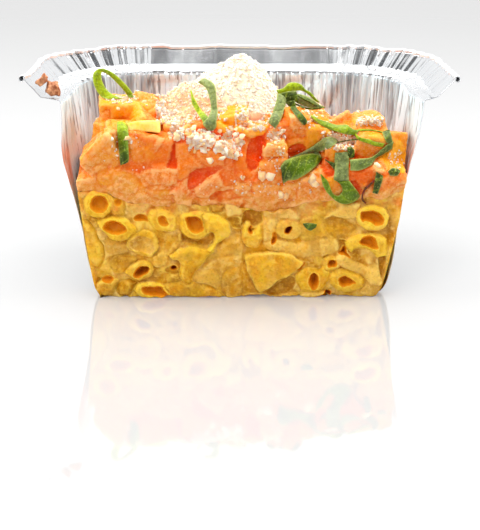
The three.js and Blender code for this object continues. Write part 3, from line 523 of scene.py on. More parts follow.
def build_foil(settings):
    """The tray as one pleated sheet with a rolled hem."""
    around = outline(0, side=70, corner=112, back=70)
    rows = foil_profile()
    x, y, nx, ny, turn = (around[None, :, k] for k in range(5))
    inset, z, share = (rows[:, k][:, None] for k in range(3))
    step = np.hypot(*np.diff(around[:, :2], axis=0).T)
    along = np.concatenate([[0], np.cumsum(step)])[None, :] + 0 * z
    up = z + 0 * x
    shape = up.shape
    flat = np.stack([along, 0 * up, up], axis=-1).reshape(-1, 3)
    run, rise = flat[:, 0], flat[:, 2]

    def pattern(kind, size, seed, stretch=(1, 1, 1), at=flat):
        """A kind of noise over the sheet; a stretch below 1 draws it out."""
        return kind(at * stretch, size, seed).reshape(shape)

    corner = np.clip(6 * np.sin(np.pi * turn), 0, 1)
    fade = np.clip(z / FOLD_HEIGHT, 0.2, 1)
    phase = turn * PLEATS + 0.5 * pattern(noise, 9, 4, (1, 1, 0.25)) * corner
    pleats = zigzag(phase) * PLEAT_DEPTH * fade
    crimps = 0.16 * zigzag(2.7 * phase + 0.3) * fade
    creases = 0.1 * pattern(ridged, 2.6, 7, (1, 1, 0.22))
    slants = 0.12 * pattern(ridged, 4.2, 9, at=np.stack([run + 0.8 * rise, flat[:, 1], 0.2 * rise], 1))
    ridges = 0.3 * pattern(ridged, 1.4, 8, (1, 1, 0.06))
    crumple = ridges + creases + slants + 0.22 * pattern(noise, 11, 5)
    crumple = crumple * np.clip((z - 3) / 8, 0, 1) * mm(settings.crinkle) / 0.3
    # the back rim is flat between its corners, and the back wall is bent in wide facets
    crumple = crumple * np.where((z > 52) & (np.abs(x) < 26), 0.25, 1)
    back = smooth_step((y - 38) / 8) * smooth_step((34 - np.abs(x)) / 8)
    fan = np.stack([0.9 * run + 0.8 * rise, 0.25 * rise, 0 * run], axis=1)
    above_food = smooth_step((z - 38) / 6) * smooth_step((51 - z) / 2)
    crumple = crumple + 0.75 * pattern(ridged, 5.5, 15, at=fan) * back * above_food
    push = (pleats + crimps) * corner + crumple
    inset = inset - push * np.where(z > 1.5, 1, 0)
    left = 2.1 * bell(z, 0, 39, 0, 8.5, 1) + 0.6 * bell(z, 0, 24, 0, 8, 1)
    right = 2.0 * bell(z, 0, 47, 0, 8, 1) * (z < 53)
    # the sheet springs open where it is cut
    inset = inset - np.where(x < 0, left, right) * np.clip(1 - y / 14, 0, 1) ** 1.5
    edge = np.stack([(x - nx * inset) * share, (y - ny * inset) * share, up], axis=-1)
    rim = np.clip((z - FOLD_HEIGHT) / RIM_RISE, 0, 1)
    waves = 0.28 * pattern(noise, 6, 11, (1, 1, 0)) + 0.08 * pattern(noise, 1.7, 12, (1, 1, 0))
    edge[..., 2] += rim * waves
    edge[:, [0, -1], 1] = 0

    # Painted reflection: orange laid on the side walls near the cut, at the height of the food, stands in for
    # the food reflected there; the foil is made less metallic where it lies.
    from_cut = np.clip(1.2 - edge[..., 1] / 6, 0, 1)
    height = np.clip((up - 24) / 8, 0, 1) * np.clip((44 - up) / 6, 0, 1)
    streaks = 0.7 + 0.6 * pattern(noise, 1.3, 21, (1, 1, 0.08))
    wide = np.where(edge[..., 0] < 0, 1.5, 0.7)
    food_reflection = np.clip(from_cut * height * (streaks - 0.15) * wide, 0, 1) * (np.abs(edge[..., 0]) > 36)

    matt = smooth_step((up - 3) / 4) * (1 - smooth_step((up - 51.2) / 1.2))
    # Painted shade: the folds and crimps of the pleats, and wide facets of the back wall above the food, are
    # darkened through the fold value.
    fold = smooth_step(0.5 - 1.2 * zigzag(phase)) + 0.8 * smooth_step(0.2 - zigzag(2.7 * phase + 0.3))
    fold = np.clip(fold * corner, 0, 1) * matt * (0.5 + 0.5 * pattern(noise, 5, 13, (1, 1, 0.2)))
    shaded = back * above_food * smooth_step(1.6 * pattern(noise, 7, 16, (1, 0.6, 1), fan) + 0.35)
    hem = 0.45 * (np.arange(len(z)) >= len(z) - HEM_ROWS)[:, None]
    values = {
        "food_reflection": food_reflection,
        "matt": MATT * matt,
        "fold": np.maximum(fold, 0.75 * shaded),
        "metal": (0.92 - 0.6 * matt - hem) * (1 - 0.7 * food_reflection),
    }
    made = new_mesh("foil_sheet", edge.reshape(-1, 3), grid_faces(*shape), values)
    sheet = made.modifiers.new("sheet", "SOLIDIFY")
    sheet.thickness = settings.thickness
    sheet.offset = 0
    finish_piece(made, foil_material(settings), ["foil_tray"])


def foil_material(settings):
    """Cold-rolled aluminium foil, pressed over a die: bright on the rim, with its matt side in, whose fine
    upright wrinkles break up its reflections. Grey painted shade lies in its folds and along fine upright
    crinkles, a painted cool cast on its matt side cancels the warm light off the food, and painted orange on
    the side walls near the cut stands in for the food's reflection."""
    material, tree, shader = new_material("pressed_aluminium_foil", Metallic=0.92, Roughness=0.2)
    outward = add_node(tree, "VectorMath", {"operation": "DOT_PRODUCT"})
    tree.links.new(add_node(tree, "NewGeometry").outputs["Normal"], outward.inputs[0])
    tree.links.new(add_node(tree, "TexCoord").outputs["Object"], outward.inputs[1])
    inner = mask(tree, outward.outputs["Value"], low=0.002, high=-0.01)
    inside = mask(tree, inner, mask(tree, "matt", high=MATT))
    # Painted cool cast on the matt side, against the warm light that the food throws on it.
    bare = painted(tree, settings.metal, settings.inside, inside)
    # Painted shade along fine upright crinkles on the inside, and in the folds.
    lines = mask(tree, speckle(tree, 1.0, 0.54, 0.62, 3.0, (1, 1, 0.05)), inside)
    bare = painted(tree, bare, settings.crease, lines, 0.8)
    bare = painted(tree, bare, settings.crease, "fold")
    # Painted reflection of the food on the side walls near the cut.
    bare = painted(tree, bare, settings.juice, mask(tree, "food_reflection", inner))
    tree.links.new(bare, shader.inputs["Base Color"])
    duller = {0: mask(tree, "metal"), 1: mask(tree, inside, 0.14)}
    metal = add_node(tree, "Math", {"operation": "SUBTRACT", "use_clamp": True}, duller)
    tree.links.new(metal.outputs[0], shader.inputs["Metallic"])
    gloss = add_node(tree, "MapRange", links={"Value": speckle(tree, 3.0), "To Min": 0.1, "To Max": 0.2})
    rougher = add_node(tree, "Math", {"operation": "ADD"}, {0: gloss.outputs[0], 1: mask(tree, "matt")})
    tree.links.new(rougher.outputs[0], shader.inputs["Roughness"])
    upright = speckle(tree, 1.3, 0.2, 0.8, 3.0, (1, 1, 0.08))
    bumped(tree, shader, mask(tree, upright, mask(tree, "matt")), 2.2, 0.7)
    bumped(tree, shader, speckle(tree, 0.35, 0.2, 0.8), 0.01, 0.5)
    return material


# ---------------------------------------------------------------- a layer of food in the tray
TOP_ROWS = 23
LAYER_CENTRE = np.array([0.0, 20.0])


def foot_inset(z):
    """How much further the food stands in at its foot, where the foil curves into the base."""
    return 1.1 * np.clip((WALL_FOOT_HEIGHT - z) / 2, 0, 1)


def layer_body(top, bottom, across, levels):
    """A closed body that fills the tray between two heights, with a flat face. Rows of points run from its
    middle over the top, down the face and the walls, and back under it. Gives points, faces and which
    points are on the face."""
    walls = outline(FACE_Y, side=14, corner=18, back=12)
    face_share = np.linspace(1, -1, across + 2)[1:-1]

    def loop(z):
        """Plan points round the layer at the heights z, one height for each: the walls, then the face."""
        wall_z, face_z = z[: len(walls)], z[len(walls) :]
        ring = walls[:, :2] - walls[:, 2:4] * (wall_inset(wall_z) + FOOD_INSET + foot_inset(wall_z))[:, None]
        half = FOLD_HALF - wall_inset(face_z) - FOOD_INSET - foot_inset(face_z)
        plan = np.concatenate([ring, np.stack([-half * face_share, FACE_Y + 0 * half], axis=1)])
        drawn_in = 1.5 * np.clip(1 - z / 22, 0, 1) * np.clip(1 - (plan[:, 1] - FACE_Y) / 14, 0, 1)
        # the right foot has pulled away from the foil
        plan[:, 0] -= drawn_in * np.clip(plan[:, 0] / 30, 0, 1)
        return plan

    count = len(walls) + across
    level = np.full(count, 30.0)
    for _ in range(3):
        ring = loop(level)
        level = top(ring[:, 0], ring[:, 1])
    low = bottom(ring[:, 0], ring[:, 1])
    rows = []
    for share in np.linspace(0, 1, TOP_ROWS + 1)[:-1]:
        plan = LAYER_CENTRE + (ring - LAYER_CENTRE) * share
        rows.append(np.column_stack([plan, top(plan[:, 0], plan[:, 1])]))
    for share in np.linspace(1, 0, levels):
        z = low + (level - low) * share
        rows.append(np.column_stack([loop(z), z]))
    foot = rows[-1]
    for share in np.linspace(1, 0, 10)[1:]:
        plan = LAYER_CENTRE + (foot[:, :2] - LAYER_CENTRE) * share
        z = foot[:, 2] * share + bottom(plan[:, 0], plan[:, 1]) * (1 - share)
        rows.append(np.column_stack([plan, z]))
    on_face = np.zeros((len(rows), count), bool)
    on_face[TOP_ROWS : TOP_ROWS + levels, len(walls) :] = True
    return np.concatenate(rows), grid_faces(len(rows), count, closed=True), on_face.ravel()


# ---------------------------------------------------------------- macaroni in sauce
def closed_curve(outline, steps=4):
    """Points on a smooth closed curve through an outline's corners."""
    knots = knots_of(outline, 2)
    around = (np.roll(knots, k, axis=0)[:, None] for k in (1, 0, -1, -2))
    return spline(*around, (np.arange(steps) / steps)[None, :, None]).reshape(-1, 2)


def outline_gap(x, z, curve):
    """Distance from a closed outline, less than 0 inside it."""
    start, end = curve, np.roll(curve, -1, axis=0)
    run = end - start
    over = np.stack([x, z], axis=1)[:, None] - start
    share = np.clip((over * run).sum(-1) / (run**2).sum(-1), 0, 1)
    gap = np.linalg.norm(over - share[..., None] * run, axis=-1).min(axis=1)
    crossing = (start[:, 1] > z[:, None]) != (end[:, 1] > z[:, None])
    rise = np.where(run[:, 1] == 0, 1e-9, run[:, 1])
    right = start[:, 0] + run[:, 0] * (z[:, None] - start[:, 1]) / rise > x[:, None]
    return np.where((crossing & right).sum(axis=1) % 2 == 1, -gap, gap)


def near_outline(x, z, curve, wanted=True):
    """Which of the wanted points are round a closed outline, and their distance from it."""
    low, high = curve.min(axis=0) - 1, curve.max(axis=0) + 1
    pick = np.flatnonzero((x > low[0]) & (x < high[0]) & (z > low[1]) & (z < high[1]) & wanted)
    return pick, outline_gap(x[pick], z[pick], curve)


def blurred(field, reach):
    """A grid of values, each averaged over its neighbours up to a number of cells away."""
    for axis in (0, 1):
        padded = np.pad(field, [(reach, reach) if k == axis else (0, 0) for k in (0, 1)], mode="edge")
        total = np.cumsum(np.insert(padded, 0, 0, axis=axis), axis=axis)
        count = 2 * reach + 1
        ahead = np.take(total, range(count, total.shape[axis]), axis=axis)
        field = (ahead - np.take(total, range(total.shape[axis] - count), axis=axis)) / count
    return field


class Relief:
    """The cut face as a relief over x and z: the depth y of each point, its shift where a bore runs aslant,
    and what it is made of, with painted shade in its creases and holes and painted highlights on its crests,
    edges and lips. Later pieces lie over earlier ones."""

    def __init__(self, x, z):
        self.x, self.z = x, z
        self.at = xz(x, z)
        folds = 0.4 * ridged(self.at, 3.4, 33)
        self.y = FACE_Y + 0.75 + 0.45 * noise(self.at, 5.0, 31) + folds + 0.3 * rough(self.at, 1.9, 3, 32)
        self.shift_x, self.shift_z = np.zeros_like(x), np.zeros_like(x)
        self.pasta = np.clip(0.3 + 0.75 * noise(self.at, 3.6, 35), 0, 0.75)
        self.toast_and_shade = np.clip(0.1 + 0.4 * noise(self.at, 3.0, 34), 0, 0.5)
        self.light = np.clip(0.25 + 0.6 * noise(self.at, 2.6, 30) + 0.3 * noise(self.at, 1.0, 29), 0, 1)
        self.deep, self.wobble = np.zeros_like(x), noise(self.at, 1.5, 36)
        self.fine = noise(self.at, 0.75, 37)

    def near(self, outline):
        """The points round an outline, and their distance from it."""
        curve = closed_curve(outline)
        pick, gap = near_outline(self.x, self.z, curve)
        return pick, gap + 0.2 * self.wobble[pick] + 0.1 * self.fine[pick], curve

    def piece(self, outline, proud, rise, roll, tone, soft, lean=(0, 0)):
        """A piece whose middle stands proud and whose edge rolls back."""
        pick, gap, curve = self.near(outline)
        middle = curve.mean(axis=0)
        surface = FACE_Y - proud + rise * np.clip(1 + gap / roll, 0, 1) ** 2
        surface += lean[0] * (self.x[pick] - middle[0]) + lean[1] * (self.z[pick] - middle[1])
        surface += 0.16 * self.wobble[pick] + 0.2 * noise(self.at[pick] * [1, 1, 0.5], 2.2, 38)
        weight = smooth_step(0.5 - gap / soft)
        self.y[pick] += (surface - self.y[pick]) * weight
        self.shift_x[pick] *= 1 - weight
        self.shift_z[pick] *= 1 - weight
        pasta, toast_and_shade, light = tone
        patchy = noise(self.at[pick], 2.4, 39) + 0.6 * self.fine[pick]
        # Painted highlight along the piece's outer edge.
        rim = 0.75 * pasta * smooth_step(1 - np.abs(gap + 0.12) / 0.26)
        # The piece's toasted tone, which is partly painted shade, and its painted highlight.
        for field, value in (
            (self.pasta, pasta * (0.95 + 0.2 * self.wobble[pick]) + 0.12 * patchy),
            (self.toast_and_shade, toast_and_shade * (1 + 0.5 * patchy) + 0.2 * patchy),
            (self.light, np.maximum(light * (1 + 0.6 * self.wobble[pick]) + 0.15 * patchy, rim)),
            (self.deep, 0.0),
        ):
            field[pick] += (value - field[pick]) * weight

    def hole(self, outline, depth, top, bottom, lip, lean=(0, 0)):
        """A bore or a gap, which is deepest under its upper edge, with painted shade inside it that runs from
        its top to its bottom, and a painted highlight on its lip.
        """
        pick, gap, curve = self.near(outline)
        low, high = curve[:, 1].min(), curve[:, 1].max()
        height = np.clip((self.z[pick] - low) / (high - low), 0, 1)
        half = min(0.9, 0.3 * (high - low))
        inside = smooth_step(0.5 - gap / 0.3)
        deeper = smooth_step(-gap / half) * (0.45 + 0.55 * height) * depth
        self.y[pick] += (0.25 + deeper) * inside
        for shift, aslant in zip((self.shift_x, self.shift_z), lean):
            shift[pick] += inside * deeper * aslant
        # Painted highlight on the lip.
        rim = smooth_step(1 - np.abs(gap - 0.32) / 0.36)
        self.light[pick] = np.maximum(self.light[pick], lip * rim)
        self.toast_and_shade[pick] *= 1 - rim * lip
        shade = bottom + (top - bottom) * height + 0.08 * self.wobble[pick]
        self.deep[pick] += (np.clip(shade, 0.02, 1) - self.deep[pick]) * inside
        self.light[pick] *= 1 - inside


def face_relief(x, z, rows):
    """The whole cut face of the macaroni layer, with painted shade in its creases and towards its foot and
    painted highlights on its crests.
    """
    face = Relief(x, z)
    for kind, numbers, outline in FACE_PIECES:
        getattr(face, kind)(outline, *numbers)
    outer = face.deep < 0.02
    face.y += 0.1 * rough(face.at, 1.2, 3, 41) * outer
    grid = face.y.reshape(rows, -1)
    crease, fine = ((grid - blurred(grid, reach)).ravel() for reach in (5, 2))
    patchy = np.clip(0.55 + 0.9 * noise(face.at, 2.0, 45), 0.1, 1.3)
    # Painted shade in the creases and painted highlights on the crests.
    face.toast_and_shade += outer * patchy * (0.42 * np.clip(crease / 0.5, 0, 1) + 0.12 * np.clip(fine / 0.16, 0, 1))
    face.light += outer * (0.4 * np.clip(-crease / 0.45, 0, 1) + 0.6 * patchy * np.clip(-fine / 0.12, 0, 1))
    # Painted shade towards the foot of the face.
    face.toast_and_shade += outer * 0.35 * smooth_step((7 - z + 3 * noise(face.at, 5.0, 47)) / 8)
    reach = z - seam(x) + 3.6 + 4.2 * noise(face.at, 3.0, 44) + 1.4 * noise(face.at, 1.0, 46)
    face.juice = smooth_step(reach / 3.0)
    return face


def sauce_foot(x, y):
    """Height of the underside: on the base behind the cut, and ragged just above the table before it."""
    at = xz(x, 0 * x)
    ragged = 0.04 + 0.9 * np.clip(noise(at, 3.6, 43) - 0.15, 0, 1) + 0.25 * np.clip(noise(at, 1.1, 42), 0, 1)
    return np.where(y < -0.5, ragged, FOOD_FLOOR)


FACE_COLUMNS, FACE_ROWS = 372, 132


def build_pasta(settings):
    """The macaroni and the sauce between them, which bake to one mass."""
    top = lambda x, y: ragged_seam(x, y) - SEAM_GAP
    points, faces, on_face = layer_body(top, sauce_foot, FACE_COLUMNS, FACE_ROWS)
    face = face_relief(points[on_face, 0], points[on_face, 2], FACE_ROWS)
    edge = smooth_step((FOLD_HALF - wall_inset(face.z) - FOOD_INSET - np.abs(face.x)) / 1.2)
    shift = np.stack([face.shift_x, face.y - FACE_Y, face.shift_z], axis=1) * edge[:, None]
    points[on_face] += shift
    values = {}
    for name in ("pasta", "toast_and_shade", "light", "deep", "juice"):
        values[name] = np.zeros(len(points))
        values[name][on_face] = np.clip(getattr(face, name), 0, 1)
    points[:, 2] = np.maximum(points[:, 2], 0.05)
    made = new_mesh("macaroni_in_sauce", points, faces, values)
    finish_piece(made, pasta_material(settings), ["pasta_layer"])


def pasta_material(settings):
    """Boiled durum pasta in a baked cheese sauce: one moist, waxy mass that lets light in, golden where it is
    pasta, creamy where it is sauce, browned in patches, with painted shade in its creases and bores and
    painted highlights and glints on its crests and lips."""
    material, tree, shader = new_material(
        "macaroni_in_cheese_sauce",
        Roughness=0.36,
        IOR=1.42,
        Specular_IOR_Level=0.14,
        Subsurface_Weight=0.3,
        Subsurface_Radius=(1.0, 0.65, 0.15),
        Subsurface_Scale=1.5 * MM,
    )
    skin = painted(tree, settings.skin, settings.skin_pale, speckle(tree, 3.6))
    skin = painted(tree, skin, settings.sauce_warm, speckle(tree, 1.3, 0.5, 0.72, 3.0), 0.35)
    cream = painted(tree, settings.sauce, settings.sauce_warm, speckle(tree, 3.0, 0.4, 0.6))
    cream = painted(tree, cream, settings.milky, speckle(tree, 2.2, 0.54, 0.68, 3.0), 0.7)
    colour = painted(tree, cream, skin, "pasta")
    # The colour of the painted highlights on crests and lips.
    crest_highlight = painted(tree, settings.milky, settings.lip, "pasta")
    # Milky and browned patches, tomato juice, then the toasted tone with its painted shade, painted
    # highlights, fine brown flecks and painted glints.
    for tint, pattern, share in (
        (settings.milky, speckle(tree, 5.0, 0.52, 0.68, 4.0), 0.35),
        (settings.toasted, speckle(tree, 6.5, 0.5, 0.68, 4.0), 0.55),
        (settings.juice, "juice", 0.75),
        (settings.toasted, "toast_and_shade", 0.85),
        (crest_highlight, "light", 0.85),
        (settings.toasted, speckle(tree, 0.7, 0.54, 0.7, 3.0), 0.3),
        (settings.lip, speckle(tree, 0.55, 0.54, 0.7, 3.0), 0.35),
    ):
        colour = painted(tree, colour, tint, pattern, share)
    # Painted shade inside the bores, darker deeper in.
    bore = painted(tree, settings.bore_mouth, settings.bore_shade, "deep")
    bore = painted(tree, bore, settings.bore_dark, "deep", low=0.6)
    colour = painted(tree, colour, bore, "deep", high=0.02)
    tree.links.new(colour, shader.inputs["Base Color"])
    wet = add_node(tree, "MapRange", links={"Value": speckle(tree, 2.0), "To Min": 0.16, "To Max": 0.45})
    tree.links.new(wet.outputs[0], shader.inputs["Roughness"])
    bumped(tree, shader, speckle(tree, 0.8, 0.2, 0.8, 4.0), 0.3, 0.7)
    return material


# ---------------------------------------------------------------- tomato
# Dice that show at the face or stand highest: centre, size, turn in degrees, and the tones of the flesh:
# redness from 0, amber, to 1, red-orange; paleness from 0 to 1.
DICE = [
    ((-31.2, 11, 48.2), (12, 9, 5.4), (6, 3, 8), 0.05, 0.12),
    ((-36.2, 7.5, 42.2), (5.6, 8, 8), (0, 8, -12), 0.12, 0.35),
    ((-35.4, 0.3, 36.6), (11.3, 9, 13.1), (6, -34, 6), 0.22, 0.5),
    ((-30.5, 2.5, 41.7), (9.6, 8, 8.9), (20, 6, 0), 0.2, 0.35),
    ((-22.7, 0.4, 39.6), (12.5, 8, 8.9), (8, 8, 4), 0.6, 0.05),
    ((-9.5, 0.3, 37.9), (14.5, 9, 11.5), (6, 24, -4), 0.5, 0.3),
    ((-19.6, -1.6, 34), (6.1, 6, 5), (0, 2, 0), 0.42, 0.8),
    ((-15.6, -1, 30.2), (5, 7, 7.2), (0, 38, 0), 0.6, 0.6),
    ((-8.3, -1.7, 31), (9.1, 6, 5.6), (0, -30, 0), 0.45, 0.8),
    ((-6.9, -0.1, 33.9), (11.4, 7, 5), (0, -14, 0), 0.85, 0.0),
    ((-17.5, 5.5, 44.5), (6.8, 8, 5.3), (14, 10, 20), 0.4, 0.2),
    ((-10.5, 4.5, 44), (7.3, 8, 6.6), (16, -14, 6), 0.55, 0.1),
    ((-6.1, 3.5, 43.6), (6.2, 8, 5.8), (10, 30, 12), 0.5, 0.0),
    ((-2.3, 6, 46.4), (9.3, 8, 5.2), (16, -4, -6), 0.05, 0.05),
    ((-0.5, 1.5, 41.2), (5.6, 8, 7.3), (4, 24, 16), 0.8, 0.05),
    ((3.9, 2.5, 41.4), (5.1, 8, 8.4), (4, 12, 10), 0.98, 0.0),
    ((1.6, 0.2, 35.4), (7.7, 8, 6.9), (0, 12, 0), 0.7, 0.25),
    ((8.7, -0.7, 40.4), (6.6, 7, 4.4), (4, -6, 4), 0.42, 0.7),
    ((9.6, 3.5, 44.4), (6.1, 8, 6.3), (12, 14, 16), 0.5, 0.15),
    ((13.6, 4.5, 44.4), (5.8, 8, 10), (14, 12, 10), 0.45, 0.05),
    ((19.6, 5, 43.2), (6.8, 8, 7.9), (18, 16, 10), 0.25, 0.05),
    ((8.8, -0.9, 34.8), (8.7, 7, 6.3), (0, -16, 0), 0.5, 0.55),
    ((16.3, -0.9, 30.2), (9.2, 7, 6.9), (0, 14, 0), 0.45, 0.75),
    ((5.7, -0.9, 28.6), (9.8, 7, 7), (0, -12, 0), 0.5, 0.8),
    ((-1.5, -0.8, 29.4), (6.7, 7, 6.4), (0, 20, 0), 0.55, 0.85),
    ((24.5, 1.5, 36.9), (8, 8, 8.5), (8, 8, 12), 0.5, 0.1),
    ((31.3, 0, 32.1), (7.9, 8, 8.3), (0, -6, 0), 0.78, 0.0),
    ((33.5, 10.5, 43.9), (9.3, 9, 5.3), (6, -10, 16), 0.2, 0.4),
    ((33.3, 4, 38.9), (8.5, 8, 8.5), (10, 6, 8), 0.45, 0.1),
    ((40.5, 5, 38.7), (5.8, 8, 9.6), (-4, 8, 20), 0.3, 0.1),
    ((38.7, -0.1, 30.1), (8.1, 8, 9.1), (0, 10, 0), 0.7, 0.1),
    ((25.1, -0.7, 29.9), (7, 7, 7.5), (0, -10, 0), 0.5, 0.45),
    ((-37.6, -1, 30.1), (9.1, 7, 6.4), (0, -8, 0), 0.3, 0.7),
    ((-28.6, -0.9, 31.4), (11.6, 7, 6.9), (0, 10, 0), 0.4, 0.55),
    ((-22, -1.3, 28.4), (8.4, 6, 5.4), (0, -10, 0), 0.45, 0.6),
]
DIE_CORNER = 0.13  # how much of a die's half is rounded
DIE_CELLS = 8
TOP_STEP = 7.6
SEAM_DICE = 14
CHEESE_CENTRE = (-3.0, 18.0)
CHEESE_REACH = (23.0, 13.0)
CHEESE_PEAK = (1.0, 18.0)


def cube_grid(cells):
    """Points and quads over the surface of a cube from -1 to 1, and how near each point is to an edge."""
    line = np.linspace(-1, 1, cells + 1)
    u, v = (a.ravel() for a in np.meshgrid(line, line, indexing="ij"))
    parts = []
    for axis in range(3):
        for sign in (-1, 1):
            side = np.zeros((len(u), 3))
            side[:, axis] = sign
            side[:, (axis + 1) % 3] = u
            side[:, (axis + 2) % 3] = v * sign
            parts.append((side, grid_faces(cells + 1, cells + 1), {"edge": np.maximum(np.abs(u), np.abs(v))}))
    points, faces, values = merged(parts)
    _, first, back = np.unique(np.round(points, 6), axis=0, return_index=True, return_inverse=True)
    return points[first], back.reshape(-1)[faces], values["edge"][first]


CUBE = cube_grid(DIE_CELLS)


def turned(points, degrees):
    """Points turned about x, then y, then z."""
    for axis, angle in enumerate(np.radians(degrees)):
        a, b = (axis + 1) % 3, (axis + 2) % 3
        moved = points.copy()
        moved[:, a] = points[:, a] * np.cos(angle) - points[:, b] * np.sin(angle)
        moved[:, b] = points[:, a] * np.sin(angle) + points[:, b] * np.cos(angle)
        points = moved
    return points


def die(centre, size, turn, red, pale, draw, warp=0.16):
    """A die of soft tomato flesh: flat-sided, round-cornered and out of true, cut off at the face."""
    points, faces, edge = CUBE
    inner = np.clip(points, DIE_CORNER - 1, 1 - DIE_CORNER)
    points = inner + DIE_CORNER * unit(points - inner)
    for corner in np.ndindex(2, 2, 2):
        sign = 2 * np.array(corner) - 1
        weight = np.prod((1 + points * sign) / 2, axis=1)
        points = points + weight[:, None] * draw.normal(0, warp, 3)
    points = turned(points * np.array(size) / 2, turn) + centre
    seed = int(draw.integers(10_000))
    points = points + 0.22 * np.stack([rough(points, 2.6, 2, seed + k) for k in range(3)], axis=1)
    plane = tomato_face_y(points[:, 0], points[:, 2]) - 0.5 * (1 - pale)
    points[:, 1] = np.maximum(points[:, 1], plane)
    same = np.ones(len(points))
    edge = np.clip((edge - 0.72) / 0.28, 0, 1)
    return points, faces, {"red": red * same, "pale": pale * same, "edge": edge}


def past_straight(x, y):
    """How far points stand beyond the straight part of the fold's outline, to the side and to the back."""
    straight = FOLD_HALF - FOLD_RADIUS
    return np.maximum(np.abs(x) - straight, 0), np.maximum(y - straight, 0)


def inside_tray(x, y, z, margin):
    """Whether points stand inside the food's room by a margin."""
    return np.hypot(*past_straight(x, y)) < FOLD_RADIUS - (wall_inset(z) + FOOD_INSET + margin)


def cheese_share(x, y):
    """Distance from the middle of the cheese's footprint, 1 at its edge."""
    return np.hypot((x - CHEESE_CENTRE[0]) / CHEESE_REACH[0], (y - CHEESE_CENTRE[1]) / CHEESE_REACH[1])


def kept_in(points):
    """Points drawn in from the foil, as dice are pressed flat against it."""
    x, y, z = points.T
    over_x, over_y = past_straight(x, y)
    room = FOLD_RADIUS - (wall_inset(z) + FOOD_INSET - 0.3)
    shrink = np.minimum(1, room / np.maximum(np.hypot(over_x, over_y), 1e-6))
    held_x = np.sign(x) * (np.abs(x) - over_x * (1 - shrink))
    return np.stack([held_x, y - over_y * (1 - shrink), z], axis=1)


def all_dice(settings):
    """The dice at the face, then one to each cell of a jittered grid over the rest of the heap."""
    draw = np.random.default_rng(7)
    made = [die(*spec, draw, 0.12) for spec in DICE]
    size = mm(settings.die)
    for y in np.arange(5.0, 46, TOP_STEP):
        for x in np.arange(-41.0, 42, TOP_STEP):
            px, py = x + draw.uniform(-2, 2), y + draw.uniform(-2, 2)
            edges, turn = size * draw.uniform(0.75, 1.15, 3), draw.uniform(-40, 40, 3)
            red, pale = draw.uniform(0.2, 0.75), draw.uniform(0, 0.6)
            z = float(heap(px, py)) + draw.uniform(-2.4, -0.6)
            near = min(math.dist((px, py, z), spec[0]) for spec in DICE)
            if near < 6 or cheese_share(px, py) < 0.8 or not inside_tray(px, py, z, 2.5):
                continue
            made.append(die((px, py, z), edges, turn, red, pale, draw))
    for k in range(SEAM_DICE):
        x = -38 + 76 * k / (SEAM_DICE - 1) + draw.uniform(-1.5, 1.5)
        z = float(seam(x)) + draw.uniform(0.8, 2.0)
        edges = draw.uniform(3.5, 6.0, 3)
        made.append(die((x, -1.6, z), edges, draw.uniform(-40, 40, 3), 0.4, draw.uniform(0.5, 1), draw))
    return made


def averaged(numbers, edges, times):
    """Values on a mesh's points, each averaged with its neighbours a number of times."""
    count = len(numbers)
    ends = np.concatenate([edges[:, 0], edges[:, 1]])
    others = np.concatenate([edges[:, 1], edges[:, 0]])
    share = 0.5 / np.maximum(np.bincount(ends, minlength=count), 1)
    for _ in range(times):
        sums = [np.bincount(ends, weights=column[others], minlength=count) for column in numbers.T]
        total = np.stack(sums, axis=1)
        numbers = 0.5 * numbers + total * share[:, None]
    return numbers


def fused(made, cell):
    """Replaces overlapping bodies in one mesh object by the skin round them all, in cells of a size in
    millimetres."""
    skin = made.modifiers.new("skin", "REMESH")
    skin.mode = "VOXEL"
    skin.voxel_size = cell * MM
    graph = bpy.context.evaluated_depsgraph_get()
    result = bpy.data.meshes.new_from_object(made.evaluated_get(graph))
    made.modifiers.remove(skin)
    old, made.data = made.data, result
    bpy.data.meshes.remove(old)
    made.data.materials.clear()


